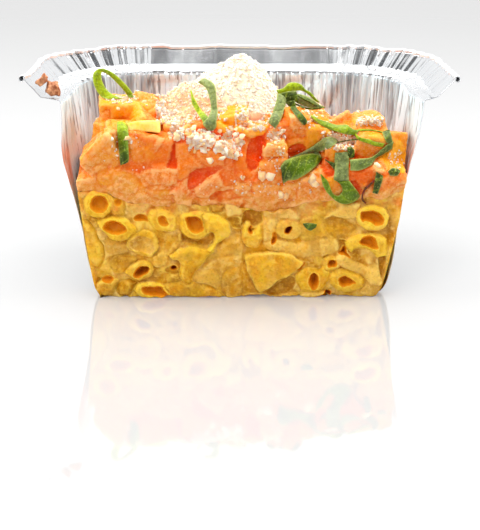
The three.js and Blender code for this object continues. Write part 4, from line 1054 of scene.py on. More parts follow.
# Facets of the tomato, later ones over earlier ones: how far it stands proud, its tones (redness, paleness,
# how far it has run into the sauce), how soft its edge is and how it leans along x and z, if it does; and
# its outline.
TOMATO_FACETS = [
    ((0.2, (0.12, 0.55, 0.15), 0.6, (-0.05, 0.1)), (-409, 385, -391, 396, -368, 422, -343, 451, -315, 455,
        -314, 400, -311, 362, -334, 355, -359, 366, -389, 355, -405, 355)),
    ((0.1, (0.35, 0.6, 0.35), 0.8), (-422, 324, -407, 362, -385, 362, -371, 340, -373, 309, -396, 286, -415,
        279, -423, 302)),
    ((-0.2, (0.28, 0, 0.1), 0.8), (-371, 340, -352, 355, -316, 351, -272, 339, -251, 309, -237, 290, -274,
        294, -306, 309, -340, 309, -365, 309)),
    ((0, (0.05, 0.3, 0.8), 1), (-332, 309, -316, 336, -287, 328, -266, 309, -270, 286, -300, 286, -322,
        290)),
    ((0.5, (0, 0.12, 0), 0.3, (0.04, 0)), (-345, 481, -335, 525, -322, 534, -273, 534, -254, 524, -241, 492,
        -246, 480, -266, 476, -288, 486, -310, 486, -331, 477)),
    ((0.1, (0.1, 0.4, 0.1), 0.4, (-0.1, 0)), (-362, 432, -357, 492, -346, 506, -328, 510, -330, 479, -342,
        461, -348, 448, -358, 430)),
    ((0.1, (0.4, 0.35, 0), 0.5, (0, 0.05)), (-285, 440, -262, 440, -240, 437, -241, 400, -238, 370, -264,
        366, -278, 373, -285, 400)),
    ((0.45, (0.5, 0.1, 0), 0.3, (0.03, 0.04)), (-265, 439, -218, 446, -199, 455, -171, 451, -168, 426, -176,
        388, -189, 357, -220, 358, -242, 362, -249, 392, -244, 418)),
    ((0.6, (0.55, 0.5, 0), 0.4), (-226, 407, -215, 433, -196, 440, -189, 433, -204, 411, -219, 392)),
    ((-0.7, (1, 0, 0), 0.25), (-191, 357, -180, 385, -172, 426, -166, 407, -163, 384, -163, 354, -169,
        354)),
    ((0.55, (0.45, 0.15, 0), 0.25, (0.02, -0.05)), (-167, 420, -153, 427, -137, 430, -132, 399, -117, 388,
        -94, 362, -128, 345, -142, 328, -159, 323, -164, 354)),
    ((0.25, (0.48, 0.12, 0), 0.4, (0, 0.05)), (-132, 399, -102, 407, -66, 407, -40, 384, -44, 362, -59, 361,
        -94, 360, -117, 388)),
    ((-0.3, (0.85, 0, 0), 0.3), (-129, 345, -96, 359, -58, 362, -44, 358, -64, 344, -89, 330, -115, 306,
        -133, 297, -138, 316)),
    ((0.4, (0.42, 0.75, 0.1), 0.25, (0, 0.08)), (-257, 347, -220, 356, -169, 356, -167, 339, -174, 309,
        -192, 304, -222, 301, -243, 320)),
    ((-0.2, (0.35, 0.05, 0.2), 0.6), (-251, 309, -222, 299, -192, 301, -174, 290, -178, 270, -208, 271,
        -237, 282)),
    ((0.5, (0.7, 0.75, 0), 0.3), (-187, 290, -170, 316, -154, 327, -136, 335, -138, 316, -146, 300, -154,
        269, -171, 269, -174, 284)),
    ((0.55, (0.5, 0.78, 0), 0.25, (0, 0.05)), (-131, 286, -115, 304, -89, 327, -63, 343, -48, 328, -44, 312,
        -65, 296, -81, 281, -115, 277, -131, 279)),
    ((-0.4, (0.6, 0, 0.25), 0.6), (-82, 277, -59, 293, 3, 301, 5, 278, -22, 270, -60, 268)),
    ((0.15, (0.62, 0.1, 0), 0.6), (-40, 384, -18, 392, 5, 384, 5, 331, -19, 316, -41, 309, -48, 328, -59,
        343, -44, 358)),
    ((0.3, (0.5, 1, 0.5), 0.4), (-20, 309, -4, 328, 5, 333, 5, 286, -11, 298)),
    ((0.2, (0.9, 0, 0), 0.4), (-73, 459, -55, 459, -42, 444, -54, 428, -66, 436)),
    ((0.5, (0, 0, 0), 0.4), (-64, 468, -54, 488, -22, 495, 11, 492, 11, 453, -22, 462, -40, 447, -58, 459)),
    ((0, (0.6, 0.1, 0), 0.5), (-146, 425, -113, 407, -73, 403, -44, 392, 3, 384, 3, 436, -44, 436, -73, 455,
        -102, 459, -138, 459)),
    ((0.4, (0.6, 0.8, 0), 0.3), (-146, 443, -136, 461, -120, 462, -115, 455, -124, 442)),
    ((-0.2, (0.85, 0.05, 0), 0.5), (-171, 437, -160, 448, -135, 440, -138, 425, -164, 424)),
    ((0.2, (0.3, 0.35, 0), 0.6), (-238, 506, -209, 524, -165, 539, -122, 532, -119, 481, -138, 459, -171,
        451, -199, 455, -203, 473, -224, 488)),
    ((0.1, (0.6, 0.1, 0), 0.6), (-14, 444, 15, 440, 26, 414, 15, 369, 30, 339, 8, 324, -15, 331)),
    ((-0.9, (0.95, 0, 0), 0.3), (26, 436, 41, 443, 66, 428, 63, 407, 53, 384, 42, 360, 27, 347, 16, 369, 16,
        399)),
    ((0.5, (0.08, 0, 0), 0.4), (-14, 495, 25, 502, 58, 495, 71, 473, 65, 451, 44, 440, 22, 436, 0, 448, -14,
        455)),
    ((0.7, (0.42, 0.6, 0), 0.22, (0, 0.05)), (66, 422, 109, 418, 118, 403, 114, 387, 59, 386, 56, 399)),
    ((0.2, (0.45, 0.6, 0), 0.5), (65, 458, 102, 464, 113, 451, 111, 420, 68, 423)),
    ((0, (0.55, 0, 0), 0.4), (101, 502, 117, 504, 125, 477, 120, 464, 103, 468)),
    ((0.3, (0.4, 0.55, 0), 0.4), (119, 502, 137, 495, 159, 469, 164, 436, 149, 440, 127, 455, 123, 477)),
    ((0.7, (0.3, 0, 0), 0.3, (0.03, 0)), (113, 399, 118, 429, 138, 436, 162, 436, 163, 460, 196, 471, 211,
        447, 208, 435, 183, 409, 154, 398)),
    ((0.2, (0.85, 0, 0), 0.5), (113, 398, 131, 418, 153, 421, 164, 406, 150, 396)),
    ((0.1, (0.45, 0.3, 0), 0.6), (44, 362, 59, 384, 115, 386, 107, 362, 103, 324, 81, 308, 48, 316)),
    ((-0.1, (0.4, 0.9, 0.5), 0.8), (-15, 324, 15, 316, 33, 301, 30, 278, -15, 286)),
    ((0, (0.3, 0.55, 0.45), 1), (30, 309, 52, 320, 103, 316, 148, 324, 184, 331, 214, 308, 223, 262, 194,
        247, 142, 239, 67, 247, 34, 262)),
    ((0.1, (0.5, 1, 0.4), 0.8), (141, 285, 152, 305, 178, 304, 195, 278, 197, 247, 171, 243, 153, 258)),
    ((0.2, (0.35, 0.5, 0.2), 0.6), (151, 327, 177, 350, 198, 369, 213, 346, 222, 308, 200, 304, 170, 308)),
    ((0.1, (0.4, 0.1, 0), 0.5), (208, 410, 241, 421, 242, 380, 231, 373, 212, 391)),
    ((-0.3, (0.9, 0.1, 0), 0.4), (203, 384, 220, 384, 235, 361, 239, 339, 221, 339, 206, 361)),
    ((0, (0.3, 0.1, 0), 0.5), (214, 327, 240, 331, 266, 301, 252, 277, 230, 285)),
    ((0.5, (0.15, 0.55, 0), 0.4), (285, 458, 293, 478, 318, 488, 351, 484, 377, 473, 378, 451, 341, 454,
        305, 456)),
    ((0.4, (0.35, 0.35, 0), 0.4), (284, 425, 302, 432, 343, 417, 355, 399, 333, 384, 300, 388, 285, 399)),
    ((0.3, (0.2, 0.1, 0), 0.4), (305, 455, 356, 450, 372, 421, 357, 417, 328, 432, 305, 440)),
    ((0.6, (0.22, 0.05, 0), 0.3, (-0.05, 0)), (345, 373, 359, 391, 383, 406, 389, 432, 404, 428, 422, 406,
        427, 346, 397, 346, 368, 354)),
    ((0.2, (0.68, 0, 0), 0.3), (279, 350, 309, 351, 338, 363, 351, 346, 347, 323, 325, 304, 311, 289, 288,
        304)),
    ((-0.3, (1, 0, 0), 0.3), (284, 323, 299, 320, 314, 300, 308, 285, 290, 304)),
    ((0.4, (0.5, 0.12, 0.1), 0.3), (325, 304, 347, 323, 376, 338, 425, 338, 427, 308, 400, 285, 386, 270,
        349, 262, 319, 270)),
    ((0.1, (0.8, 0, 0), 0.4), (386, 285, 403, 308, 429, 312, 419, 285, 397, 270)),
    ((0.3, (0.5, 1, 0.1), 0.4), (337, 373, 350, 378, 371, 354, 361, 339, 342, 350)),
]


def on_face_plane(at):
    """Where sight lines to points cross the face's plane, as x and z."""
    share = (FACE_Y - EYE[1]) / (at[:, 1] - EYE[1])
    return EYE[0] + (at[:, 0] - EYE[0]) * share, EYE[2] + (at[:, 2] - EYE[2]) * share


def on_sight_line(x, z, y):
    """The points at depth y on the sight lines through points of the face's plane."""
    share = (y - EYE[1]) / (FACE_Y - EYE[1])
    return EYE + (np.stack([x, FACE_Y + 0 * x, z], axis=-1) - EYE) * share[..., None]


# The tomato's left edge at the cut: heights, and the x that it keeps to.
LEFT_LIMIT = (
    (26, 30, 32.4, 35.5, 38.5, 39.6, 42.2, 45, 47, 53),
    (-43.2, -42.4, -42.2, -41.2, -40.9, -39.5, -37.4, -36, -36.3, -36),
)


def trimmed(at):
    """Points drawn in from the left foil near the cut, where the tomato slopes away from it."""
    x, z = on_face_plane(at)
    over = np.clip(np.interp(z, *LEFT_LIMIT) - x, 0, None) * np.clip(1 - (at[:, 1] - FACE_Y) / 14, 0, 1)
    return at + 0.85 * over[:, None] * [1, 0, 0]


def pressed_facets(at, normals, tones):
    """How far each point is lifted by the facets that show from the front, and its tones with theirs."""
    x, z = on_face_plane(at)
    shown = smooth_step((normals * unit(EYE - at)).sum(axis=1) / 0.35) * (at[:, 1] < 22)
    lift, tones = np.zeros(len(at)), tones.copy()
    ragged = 0.2 * noise(xz(x, z), 1.6, 71) + 0.1 * noise(xz(x, z), 0.7, 72)
    patchy = noise(xz(x, z), 2.6, 73)
    for (proud, tone, soft, *lean), shape in TOMATO_FACETS:
        curve = closed_curve(shape, 3)
        pick, gap = near_outline(x, z, curve, shown > 0)
        gap += ragged[pick]
        middle = curve.mean(axis=0)
        lean_x, lean_z = lean[0] if lean else (0, 0)
        height = proud + lean_x * (x[pick] - middle[0]) + lean_z * (z[pick] - middle[1])
        height -= 0.5 * np.clip(1 + gap / 0.9, 0, 1) ** 2
        weight = smooth_step(0.5 - gap / soft) * shown[pick]
        lift[pick] += (height - lift[pick]) * weight
        wanted = np.array(tone) + patchy[pick, None] * [0.1, 0.14, 0.25]
        tones[pick] += (wanted - tones[pick]) * weight[:, None]
    return lift, tones


def tomato_face_y(x, z):
    """The y of the cut through the tomato."""
    bulge = 0.9 * smooth_step((z - seam(x)) / 6) - 0.4
    return FACE_Y - bulge + 0.4 * noise(xz(x, z), 3.6, 61)


def build_tomato(settings):
    """Diced tomato bedded in its pulp, pressed into one mass with a facet for each die."""
    top, bottom = lambda x, y: heap(x, y) - 1.7, lambda x, y: ragged_seam(x, y) - 0.5
    points, faces, on_face = layer_body(top, bottom, across=240, levels=30)
    points[on_face, 1] = tomato_face_y(points[on_face, 0], points[on_face, 2]) + 0.7
    body = (points, faces, {"red": 0 * points[:, 0] + 0.7, "pale": 0 * points[:, 0] + 0.1})
    dice, sides, tones = merged(all_dice(settings))
    dice = kept_in(dice)
    dice[:, 2] = np.maximum(dice[:, 2], ragged_seam(dice[:, 0], dice[:, 1]) - 0.4)
    points, faces, values = merged([body, (dice, sides, tones)])
    made = new_mesh("diced_tomato", points, faces)
    tree = BVHTree.FromPolygons([Vector(p) for p in points], faces.tolist())
    fused(made, mm(settings.cell))
    tidy_mesh(made.data)

    edges = read(made.data.edges, "vertices", 2, np.int32)
    at = read(made.data.vertices, "co", 3) / MM - TO_ROW
    near = np.array([faces[tree.find_nearest(p)[2]][0] for p in at.tolist()])
    low = 1 - smooth_step((at[:, 2] - seam(at[:, 0]) - 0.5) / 5.0 + 0.5 * noise(at, 4.0, 66))
    mush = np.clip(low * (0.6 + 0.6 * noise(at, 3.0, 69)), 0, 1)
    tones = averaged(np.stack([values["red"][near], values["pale"][near], mush], axis=1), edges, 2)
    tones += np.stack([-0.2 * low, 0.35 * low * noise(at, 2.6, 68) + 0.15 * low, 0 * low], axis=1)
    normals = read(made.data.vertex_normals, "vector", 3)
    at = trimmed(averaged(at, edges, 1))
    lift, tones = pressed_facets(at, normals, tones)
    seam_fade = smooth_step((at[:, 2] - ragged_seam(at[:, 0], at[:, 1])) / 1.5)
    at = at + normals * (0.8 * lift * seam_fade + 0.2 * rough(at, 1.4, 3, 65))[:, None]
    broad = ((at - averaged(at, edges, 14)) * normals).sum(axis=1)
    fine = ((at - averaged(at, edges, 4)) * normals).sum(axis=1)
    made.data.vertices.foreach_set("co", ((at + TO_ROW) * MM).astype(np.float32).ravel())
    made.data.update()
    foot = 1.1 - (at[:, 2] - seam(at[:, 0])) / 3.2 + 0.7 * noise(at, 3.2, 74) + 0.3 * noise(at, 1.2, 75)
    foot = smooth_step(foot)
    tones[:, 2] = np.maximum(tones[:, 2], foot)
    tones[:, 0] *= 1 - 0.5 * foot
    # Painted highlight on the crests and painted shade in the gaps between dice.
    values = {
        "red": np.clip(0.42 + 1.35 * (tones[:, 0] - 0.45) + 0.12 * noise(at, 5.0, 67), 0, 1),
        "pale": np.clip(tones[:, 1], 0, 1),
        "mush": np.clip(tones[:, 2], 0, 1),
        "crest_highlight": np.clip(broad / 0.35, 0, 1) * 0.4 + np.clip(fine / 0.08, 0, 1),
        "gap": np.clip(-broad / 0.5, 0, 1) * 0.6 + np.clip(-fine / 0.2, 0, 1) * 0.3,
    }
    store(made.data, values)
    finish_piece(made, tomato_material(settings), ["tomato_layer"])


def tomato_material(settings):
    """Raw tomato flesh, diced and wet: translucent and grainy, with painted red-orange shade in the gaps
    between dice, painted highlights on its crests and edges, painted glints, and pale cut faces."""
    material, tree, shader = new_material(
        "raw_tomato_flesh",
        Roughness=0.3,
        IOR=1.38,
        Specular_IOR_Level=0.2,
        Subsurface_Weight=0.3,
        Subsurface_Radius=(1.0, 0.4, 0.1),
        Subsurface_Scale=1.0 * MM,
        Coat_Weight=0.08,
        Coat_Roughness=0.12,
    )
    colour = painted(tree, settings.amber, settings.flesh, "red", high=0.5)
    colour = painted(tree, colour, settings.deep, "red", low=0.5)
    colour = painted(tree, colour, settings.pale, "pale", 0.85)
    colour = painted(tree, colour, settings.mush, "mush", 0.9)
    colour = painted(tree, colour, settings.deep, speckle(tree, 1.7, 0.5, 0.75, 3.0), 0.3)
    # How strong the painted highlights are: most on pale and mushy flesh.
    highlight_share = add_node(tree, "Math", {"operation": "MAXIMUM"}, {0: mask(tree, "pale"), 1: mask(tree, "mush")})
    links = {"Value": highlight_share.outputs[0], "From Max": 0.6, "To Min": 0.2}
    highlight_share = add_node(tree, "MapRange", links=links).outputs[0]
    # Bright grain of the flesh, partly real and partly painted glints, then finer painted glints and painted
    # highlights on the crests.
    grain = speckle(tree, 0.7, 0.5, 0.7, 4.0), 0.5
    glints = speckle(tree, 0.4, 0.56, 0.68), 0.6
    for pattern, share in (grain, glints, ("crest_highlight", 0.5)):
        colour = painted(tree, colour, settings.pale_bright, mask(tree, pattern, share), highlight_share)
    # Painted shade in the gaps between dice.
    colour = painted(tree, colour, settings.deep, "gap", 0.75)
    tree.links.new(colour, shader.inputs["Base Color"])
    wet = add_node(tree, "MapRange", links={"Value": speckle(tree, 1.4), "To Min": 0.1, "To Max": 0.32})
    tree.links.new(wet.outputs[0], shader.inputs["Roughness"])
    bumped(tree, shader, speckle(tree, 0.9, 0.2, 0.8, 4.0), 0.35, 0.8)
    return material


# ---------------------------------------------------------------- cheese
def cheese_top(x, y):
    """Height of the heap of cheese."""
    peak = 15.5 * bell(x, y, 1, 18, 6.5, 7.5)
    left_shoulder = 8.4 * bell(x, y, -14, 17, 7.5, 8)
    return 44 + peak + left_shoulder + 2 * bell(x, y, 12, 16, 6, 8)


def cheese_plan(angle, share):
    """Plan points of the heap: its peak at share 0 and its wavy edge at share 1."""
    edge = 1 + 0.07 * np.sin(3 * angle + 1) + 0.05 * np.sin(5 * angle)
    plan = []
    for axis, turn in enumerate((np.cos(angle), np.sin(angle))):
        rim = CHEESE_CENTRE[axis] + CHEESE_REACH[axis] * edge * turn
        plan.append(CHEESE_PEAK[axis] + (rim - CHEESE_PEAK[axis]) * share)
    return plan


def cheese_surface(x, y):
    """The heap's uneven surface, never below the tomato."""
    at = np.stack([x, y, 0 * x], axis=-1)
    top = cheese_top(x, y) + 0.8 * rough(at, 3.2, 3, 90) + 0.35 * np.abs(noise(at, 0.9, 94))
    return np.maximum(top, heap(x, y) + 0.4)


def cheese_juice(at):
    """How far the tomato's juice has coloured the heap: most at its thin foot and on its left."""
    soaked = 55 - at[:, 2] - 0.45 * (at[:, 0] + 8) + 2 * noise(at, 3.0, 95)
    return 0.8 * smooth_step(soaked / 7) * (at[:, 0] < 12)


def grains(at, radii, draw, stretch=0.5, wet=0.0):
    """Crumbs at the given points: small lumps of twenty facets, none like another."""
    ball = bmesh.new()
    bmesh.ops.create_icosphere(ball, subdivisions=1, radius=1)
    shape = np.array([v.co for v in ball.verts])
    corners = np.array([[v.index for v in f.verts] for f in ball.faces])
    ball.free()
    count = len(at)
    axes = draw.uniform(1 - stretch, 1 + stretch, (count, 1, 3))
    bent = shape[None] * (1 + draw.normal(0, 0.24, (count, len(shape), 1))) * axes
    spin = unit(draw.normal(size=(count, 4)))[:, None]
    w, axis = spin[..., :1], spin[..., 1:]
    bent = bent + 2 * np.cross(axis, np.cross(axis, bent) + w * bent)
    points = bent * radii[:, None, None] + at[:, None]
    faces = (corners[None] + (np.arange(count) * len(shape))[:, None, None]).reshape(-1, 3)
    tone = np.repeat(draw.uniform(0, 1, count), len(shape))
    soaked = np.repeat(wet * draw.uniform(0, 1, count), len(shape))
    return points.reshape(-1, 3), faces, {"tone": tone, "wet": soaked}


def build_cheese(settings):
    """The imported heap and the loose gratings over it."""
    spokes, rings = 320, 100
    angle = np.linspace(0, 2 * np.pi, spokes, endpoint=False)
    rows = []
    for height, shares in (
        (cheese_surface, np.linspace(0, 1, rings)),
        (lambda x, y: heap(x, y) + 0.3, np.linspace(1, 0, 12)),
    ):
        for share in shares:
            x, y = cheese_plan(angle, share + 0 * angle)
            rows.append(np.column_stack([x, y, height(x, y)]))
    points = np.concatenate(rows)
    values = {"tone": 0.5 + 0.5 * noise(points, 4, 93), "wet": cheese_juice(points)}
    packed = new_mesh("packed_cheese", points, grid_faces(len(rows), spokes, closed=True), values)
    material = cheese_material(settings)
    finish_piece(packed, material, ["cheese_heap"])

    draw = np.random.default_rng(17)
    angle = draw.uniform(0, 2 * np.pi, settings.gratings)
    share = np.sqrt(draw.uniform(0, 1, settings.gratings)) * 1.04
    x, y = cheese_plan(angle, share)
    radius = mm(settings.grain) / 2 * draw.lognormal(0, 0.35, settings.gratings)
    at = np.column_stack([x, y, cheese_surface(x, y) + radius * draw.uniform(-0.6, 0.5, len(x))])
    shapes = grains(at, radius, draw)
    shapes[2]["wet"] = cheese_juice(shapes[0]) * (0.4 + 0.6 * shapes[2]["tone"])
    loose = new_mesh("loose_gratings", *shapes)
    finish_piece(loose, material, ["cheese_heap"])


# Patches of cheese on the tomato as seen from the front: middle x and z on the face's plane, half-width,
# half-height, how many grains, and the grain's size in millimetres.
SPRINKLES = [
    (-16.3, 51.8, 4.8, 4.3, 1500, 0.7), (-16.4, 45.4, 1.8, 2, 130, 0.9), (-10.2, 43.1, 3.4, 2.6, 120, 1.15),
    (-3.1, 42.3, 3.2, 3.9, 150, 1.1), (3.3, 49.2, 4.5, 3.4, 420, 0.7), (9, 44.2, 2.2, 2, 80, 0.8),
    (25, 42.9, 4.3, 2.2, 240, 0.8), (32.6, 48, 3.2, 1.2, 130, 0.65), (-30, 53.5, 3.6, 0.9, 120, 0.6),
    (-7.5, 52, 3.8, 3.6, 420, 0.7), (18.8, 49, 3.8, 2.8, 60, 0.8), (39.8, 38, 2, 2.3, 30, 0.6),
    (10, 37.8, 5.1, 3.9, 50, 0.55), (4.9, 30.6, 15.5, 3.4, 60, 0.5), (-29, 41.2, 5.9, 5.9, 30, 0.5),
]
# Single crumbs: x and z on the face's plane, and size.
CRUMBS = [
    (-7.9, 37.6, 1.9), (-18.3, 47, 1.5), (-30.7, 51.1, 1.6), (-15.9, 44.9, 1.6), (-12.7, 42.8, 1.7),
    (-10.9, 41.5, 1.9), (-9.4, 43.9, 1.9), (-8.1, 43.4, 2.1), (-11.7, 40.2, 1.4), (-10.3, 45.4, 1.6),
    (-5.6, 40.8, 1.9), (-3.8, 40, 1.8), (-2.7, 42.6, 1.6), (-1, 43.1, 2), (-1.2, 39.4, 1.6),
    (0.1, 42.3, 1.7), (-3.2, 44.9, 1.7), (-42.9, 38.7, 1.3), (5.7, 33.6, 2.6), (7.3, 33.4, 2.8),
    (18.6, 32.8, 2.6), (19.2, 31.5, 2), (10.2, 28.8, 2.2), (11.7, 28.3, 1.6), (35, 36.5, 1.8),
    (-32.8, 41.6, 0.9), (-27.9, 42.6, 1.4), (-28.7, 43.4, 1.3),
]


def landing(tree, start, direction):
    """Where a line from a point meets the food and the direction outwards there, or None if it misses."""
    place, normal, _, _ = tree.ray_cast(start, direction)
    return None if place is None else (np.array(place) / MM - TO_ROW, np.array(normal))


def from_front(tree, x, z):
    """Where a sight line from the camera through a point of the face's plane meets the food."""
    eye = Vector(EYE + TO_ROW) * MM
    through = Vector((x, FACE_Y + CUT_PLANE, z)) * MM
    return landing(tree, eye, (through - eye).normalized())


def food_tree(names):
    """A search tree over the named pieces."""
    points, faces, start = [], [], 0
    for name in names:
        mesh = bpy.data.objects[name].data
        points += [v.co.copy() for v in mesh.vertices]
        faces += [[start + i for i in p.vertices] for p in mesh.polygons]
        start = len(points)
    return BVHTree.FromPolygons(points, faces)


def build_sprinkles(settings):
    """Cheese that fell on the tomato: fine drifts below the heap, and single crumbs."""
    draw = np.random.default_rng(23)
    tree = food_tree(["diced_tomato"])
    places, radii = [], []

    def drop(hit, size):
        """Lays a grain where a line has met the food, sunk in a little."""
        if hit is not None:
            places.append(hit[0] - hit[1] * 0.02 * size)
            radii.append(size / 2)

    for x, z, half_width, half_height, count, size in SPRINKLES:
        for _ in range(count):
            dx, dz = np.clip(draw.normal(0, 0.55, 2), -1, 1)
            hit = from_front(tree, x + half_width * dx, z + half_height * dz)
            drop(hit, size * draw.lognormal(-0.1, 0.3))
    for x, z, size in CRUMBS:
        drop(from_front(tree, x, z), size)
    for _ in range(settings.scattered):
        x, y = draw.uniform(-40, 40), draw.uniform(6, 44)
        if inside_tray(x, y, 46.0, 1.5) and draw.random() < np.exp(-max(cheese_share(x, y) - 0.9, 0) * 2.2):
            hit = landing(tree, Vector((x, y + CUT_PLANE, 80)) * MM, Vector((0, 0, -1)))
            if hit is not None:
                drop(hit, draw.uniform(0.5, 1.2))
    made = new_mesh("sprinkled_cheese", *grains(np.array(places), np.array(radii), draw, 0.45, 1.0))
    finish_piece(made, cheese_material(settings), ["tomato_layer"])


def cheese_material(settings):
    """Hard cheese, finely grated: dry, matt white crumbs that glow cream where light passes through them, and
    that give off a faint painted cream glow of their own.
    """
    material, tree, shader = new_material(
        "grated_hard_cheese",
        Roughness=0.75,
        IOR=1.45,
        Subsurface_Weight=0.9,
        Subsurface_Radius=(1.0, 0.85, 0.55),
        Subsurface_Scale=2.2 * MM,
        Specular_IOR_Level=0.2,
        # Painted glow: the crumbs give off a little cream light of their own.
        Emission_Color=settings.cream[:],
        Emission_Strength=settings.glow,
    )
    colour = painted(tree, settings.white, settings.cream, "tone")
    colour = painted(tree, colour, settings.soaked, "wet")
    tree.links.new(colour, shader.inputs["Base Color"])
    bumped(tree, shader, speckle(tree, 0.6, 0.2, 0.8, 3.0), 0.2, 0.6)
    return material


# ---------------------------------------------------------------- basil
# Strips of leaf: the finish, the depth y at the start and the end (None lies on the food), and
# cross-sections: x and z of the strip's one edge and of its other, in tenths of a millimetre.
BASIL = {
    "basil_loop": [
        ("bright", (9.5, 12.5), (-336, 534, -295, 536, -350, 541, -318, 546, -360, 556, -335, 559, -367,
            574, -346, 581, -368, 597, -347, 598, -357, 610, -344, 603, -341, 612, -337, 600, -319, 602,
            -322, 589, -298, 584, -306, 572, -280, 564, -291, 554, -264, 539, -281, 539)),
    ],
    "basil_front": [
        ("front", None, (-313, 479, -285, 469, -314, 463, -285, 455, -313, 437, -286, 437, -311, 407, -286,
            405, -310, 381, -286, 385, -309, 365, -288, 373)),
    ],
    "basil_vee": [
        ("bright", (7.5, 2.2), (-127, 557, -123, 557, -125, 540, -118, 541, -123, 524, -110, 526, -115, 508,
            -101, 510, -105, 491, -88, 496, -97, 479, -80, 487, -96, 470, -78, 482)),
        ("pale", (8.5, 1.6), (-107, 577, -89, 588, -94, 569, -73, 579, -86, 560, -64, 567, -80, 543, -61,
            543, -76, 524, -60, 521, -76, 505, -58, 502, -83, 488, -61, 482, -96, 474, -63, 463, -86, 458,
            -73, 454)),
    ],
    "basil_crown_left": [
        ("pale", (8, 3.5), (91, 549, 115, 536, 90, 533, 113, 522, 84, 514, 109, 506, 76, 494, 102, 485, 69,
            476, 88, 461)),
    ],
    "basil_crown_right": [
        ("dark", (7.5, 5.5), (110, 528, 135, 533, 126, 510, 141, 513, 140, 491, 155, 498, 153, 474, 164,
            487, 161, 468, 168, 480)),
    ],
    "basil_crown_arc": [
        ("bright", (10.5, 13), (88, 558, 93, 549, 106, 563, 108, 548, 119, 575, 125, 552, 135, 577, 139,
            556, 151, 572, 152, 556, 162, 560, 164, 550, 175, 552, 174, 542, 187, 539, 184, 532, 198, 528,
            194, 526)),
    ],
    "basil_crown_leaf": [
        ("dark", (8.2, 8.2), (93, 549, 101, 528, 111, 553, 118, 527, 125, 555, 135, 528, 139, 556, 145,
            523)),
        ("pale", (10.5, 11.5), (138, 549, 138, 528, 155, 546, 152, 520, 171, 540, 165, 516, 184, 532, 180,
            513, 197, 522, 195, 512, 212, 515, 208, 512)),
        ("dark", (9.8, 11), (136, 526, 136, 521, 149, 520, 148, 515, 163, 515, 162, 510, 179, 513, 178, 508,
            195, 515, 194, 509, 213, 515, 209, 512)),
        ("dark", (9.6, 11.2), (143, 546, 142, 542, 158, 538, 156, 533, 171, 532, 170, 526, 185, 524, 184,
            518, 195, 519, 193, 515)),
    ],
    "basil_fork": [
        ("gold", (8.5, 4.5), (177, 496, 176, 489, 197, 486, 196, 473, 219, 478, 220, 460, 245, 470, 246,
            451, 267, 471, 268, 445, 283, 460, 288, 443, 299, 454, 298, 450)),
    ],
    "basil_fork_tip": [
        ("gold", (4.6, 1.5), (289, 449, 288, 442, 306, 437, 302, 429, 326, 433, 324, 421, 342, 426, 343,
            414, 366, 421, 360, 412)),
        ("gold", (4.8, 3.5), (290, 457, 290, 452, 315, 459, 315, 454, 337, 457, 338, 453, 365, 451, 363,
            447)),
        ("rimmed", (3.6, 1), (358, 449, 379, 456, 364, 437, 382, 443, 372, 422, 387, 425)),
    ],
    "basil_wide": [
        ("wide", None, (102, 362, 109, 314, 114, 378, 123, 324, 136, 386, 141, 327, 157, 390, 163, 339, 179,
            394, 185, 355, 198, 392, 200, 369, 207, 385, 205, 380)),
        ("pale", None, (183, 408, 180, 395, 194, 406, 191, 388, 205, 390, 200, 381)),
    ],
    "basil_pale": [
        ("pale", None, (122, 384, 130, 378, 151, 396, 159, 388, 180, 412, 186, 397, 199, 426, 204, 402, 221,
            438, 225, 409, 240, 435, 238, 418, 246, 430, 245, 424)),
        ("dark", None, (240, 425, 240, 421, 253, 427, 253, 424, 272, 431, 272, 428, 297, 433, 297, 430)),
    ],
    "basil_drop": [
        ("pale", None, (241, 397, 272, 400, 240, 378, 277, 380, 241, 354, 277, 353, 239, 326, 279, 324)),
        ("dark", None, (271, 411, 274, 384, 281, 413, 284, 383, 290, 405, 290, 385)),
        ("dark", None, (215, 381, 216, 378, 227, 375, 231, 364, 243, 370, 240, 351)),
    ],
    "basil_hook": [
        ("green", None, (205, 340, 208, 339, 210, 318, 223, 324, 218, 299, 232, 304, 234, 280, 239, 289,
            253, 265, 251, 283, 276, 259, 262, 294, 299, 267, 260, 307, 309, 282, 254, 317, 298, 300, 247,
            322, 280, 323, 239, 327)),
    ],
    "basil_sweep": [
        ("sweep", (-4.6, 3.2), (278, 380, 280, 351, 304, 382, 305, 351, 332, 385, 334, 364, 352, 400, 344,
            379, 374, 420, 363, 391, 389, 426, 386, 407)),
    ],
    "basil_chip": [
        ("dark", None, (348, 347, 366, 336, 345, 323, 363, 315, 341, 291, 355, 288)),
    ],
    "basil_chip_right": [
        ("rimmed", None, (378, 349, 383, 338, 388, 357, 390, 336, 400, 357, 402, 336, 410, 351, 409, 344)),
    ],
    "basil_chip_pasta": [
        ("dark", (-4.9, -4.9), (162, 208, 165, 202, 172, 209, 173, 192, 185, 209, 185, 189, 199, 206, 197,
            197)),
    ],
    "basil_stem": [
        ("stem", None, (346, 328, 350, 326, 330, 314, 335, 310, 318, 300, 323, 297, 313, 284, 317, 283, 314,
            271, 319, 273, 323, 262, 326, 265)),
    ],
}
LEAF_STEPS = 34
LEAF_COLUMNS = 11
BEHIND = 60.0  # a depth behind all the food


LEAF_FINISHES = {
    # how far it shows the underside, its brightness at the start and at the end, and how light its edges are
    "bright": (0.0, 1.0, 0.75, 0.6),
    "dark": (0.15, 0.1, 0.05, 0.4),
    "pale": (0.9, 0.65, 0.3, 0.6),
    "gold": (0.0, 0.85, 0.7, 0.4),
    "rimmed": (0.3, 0.15, 0.15, 1.0),
    "front": (0.0, 1.0, 0.05, 0.5),
    "wide": (0.0, 0.05, 0.35, 0.7),
    "green": (0.0, 0.6, 0.45, 0.7),
    "sweep": (0.55, 0.4, 0.2, 0.9),
    "stem": (0.0, 0.0, 0.0, 0.0),
}


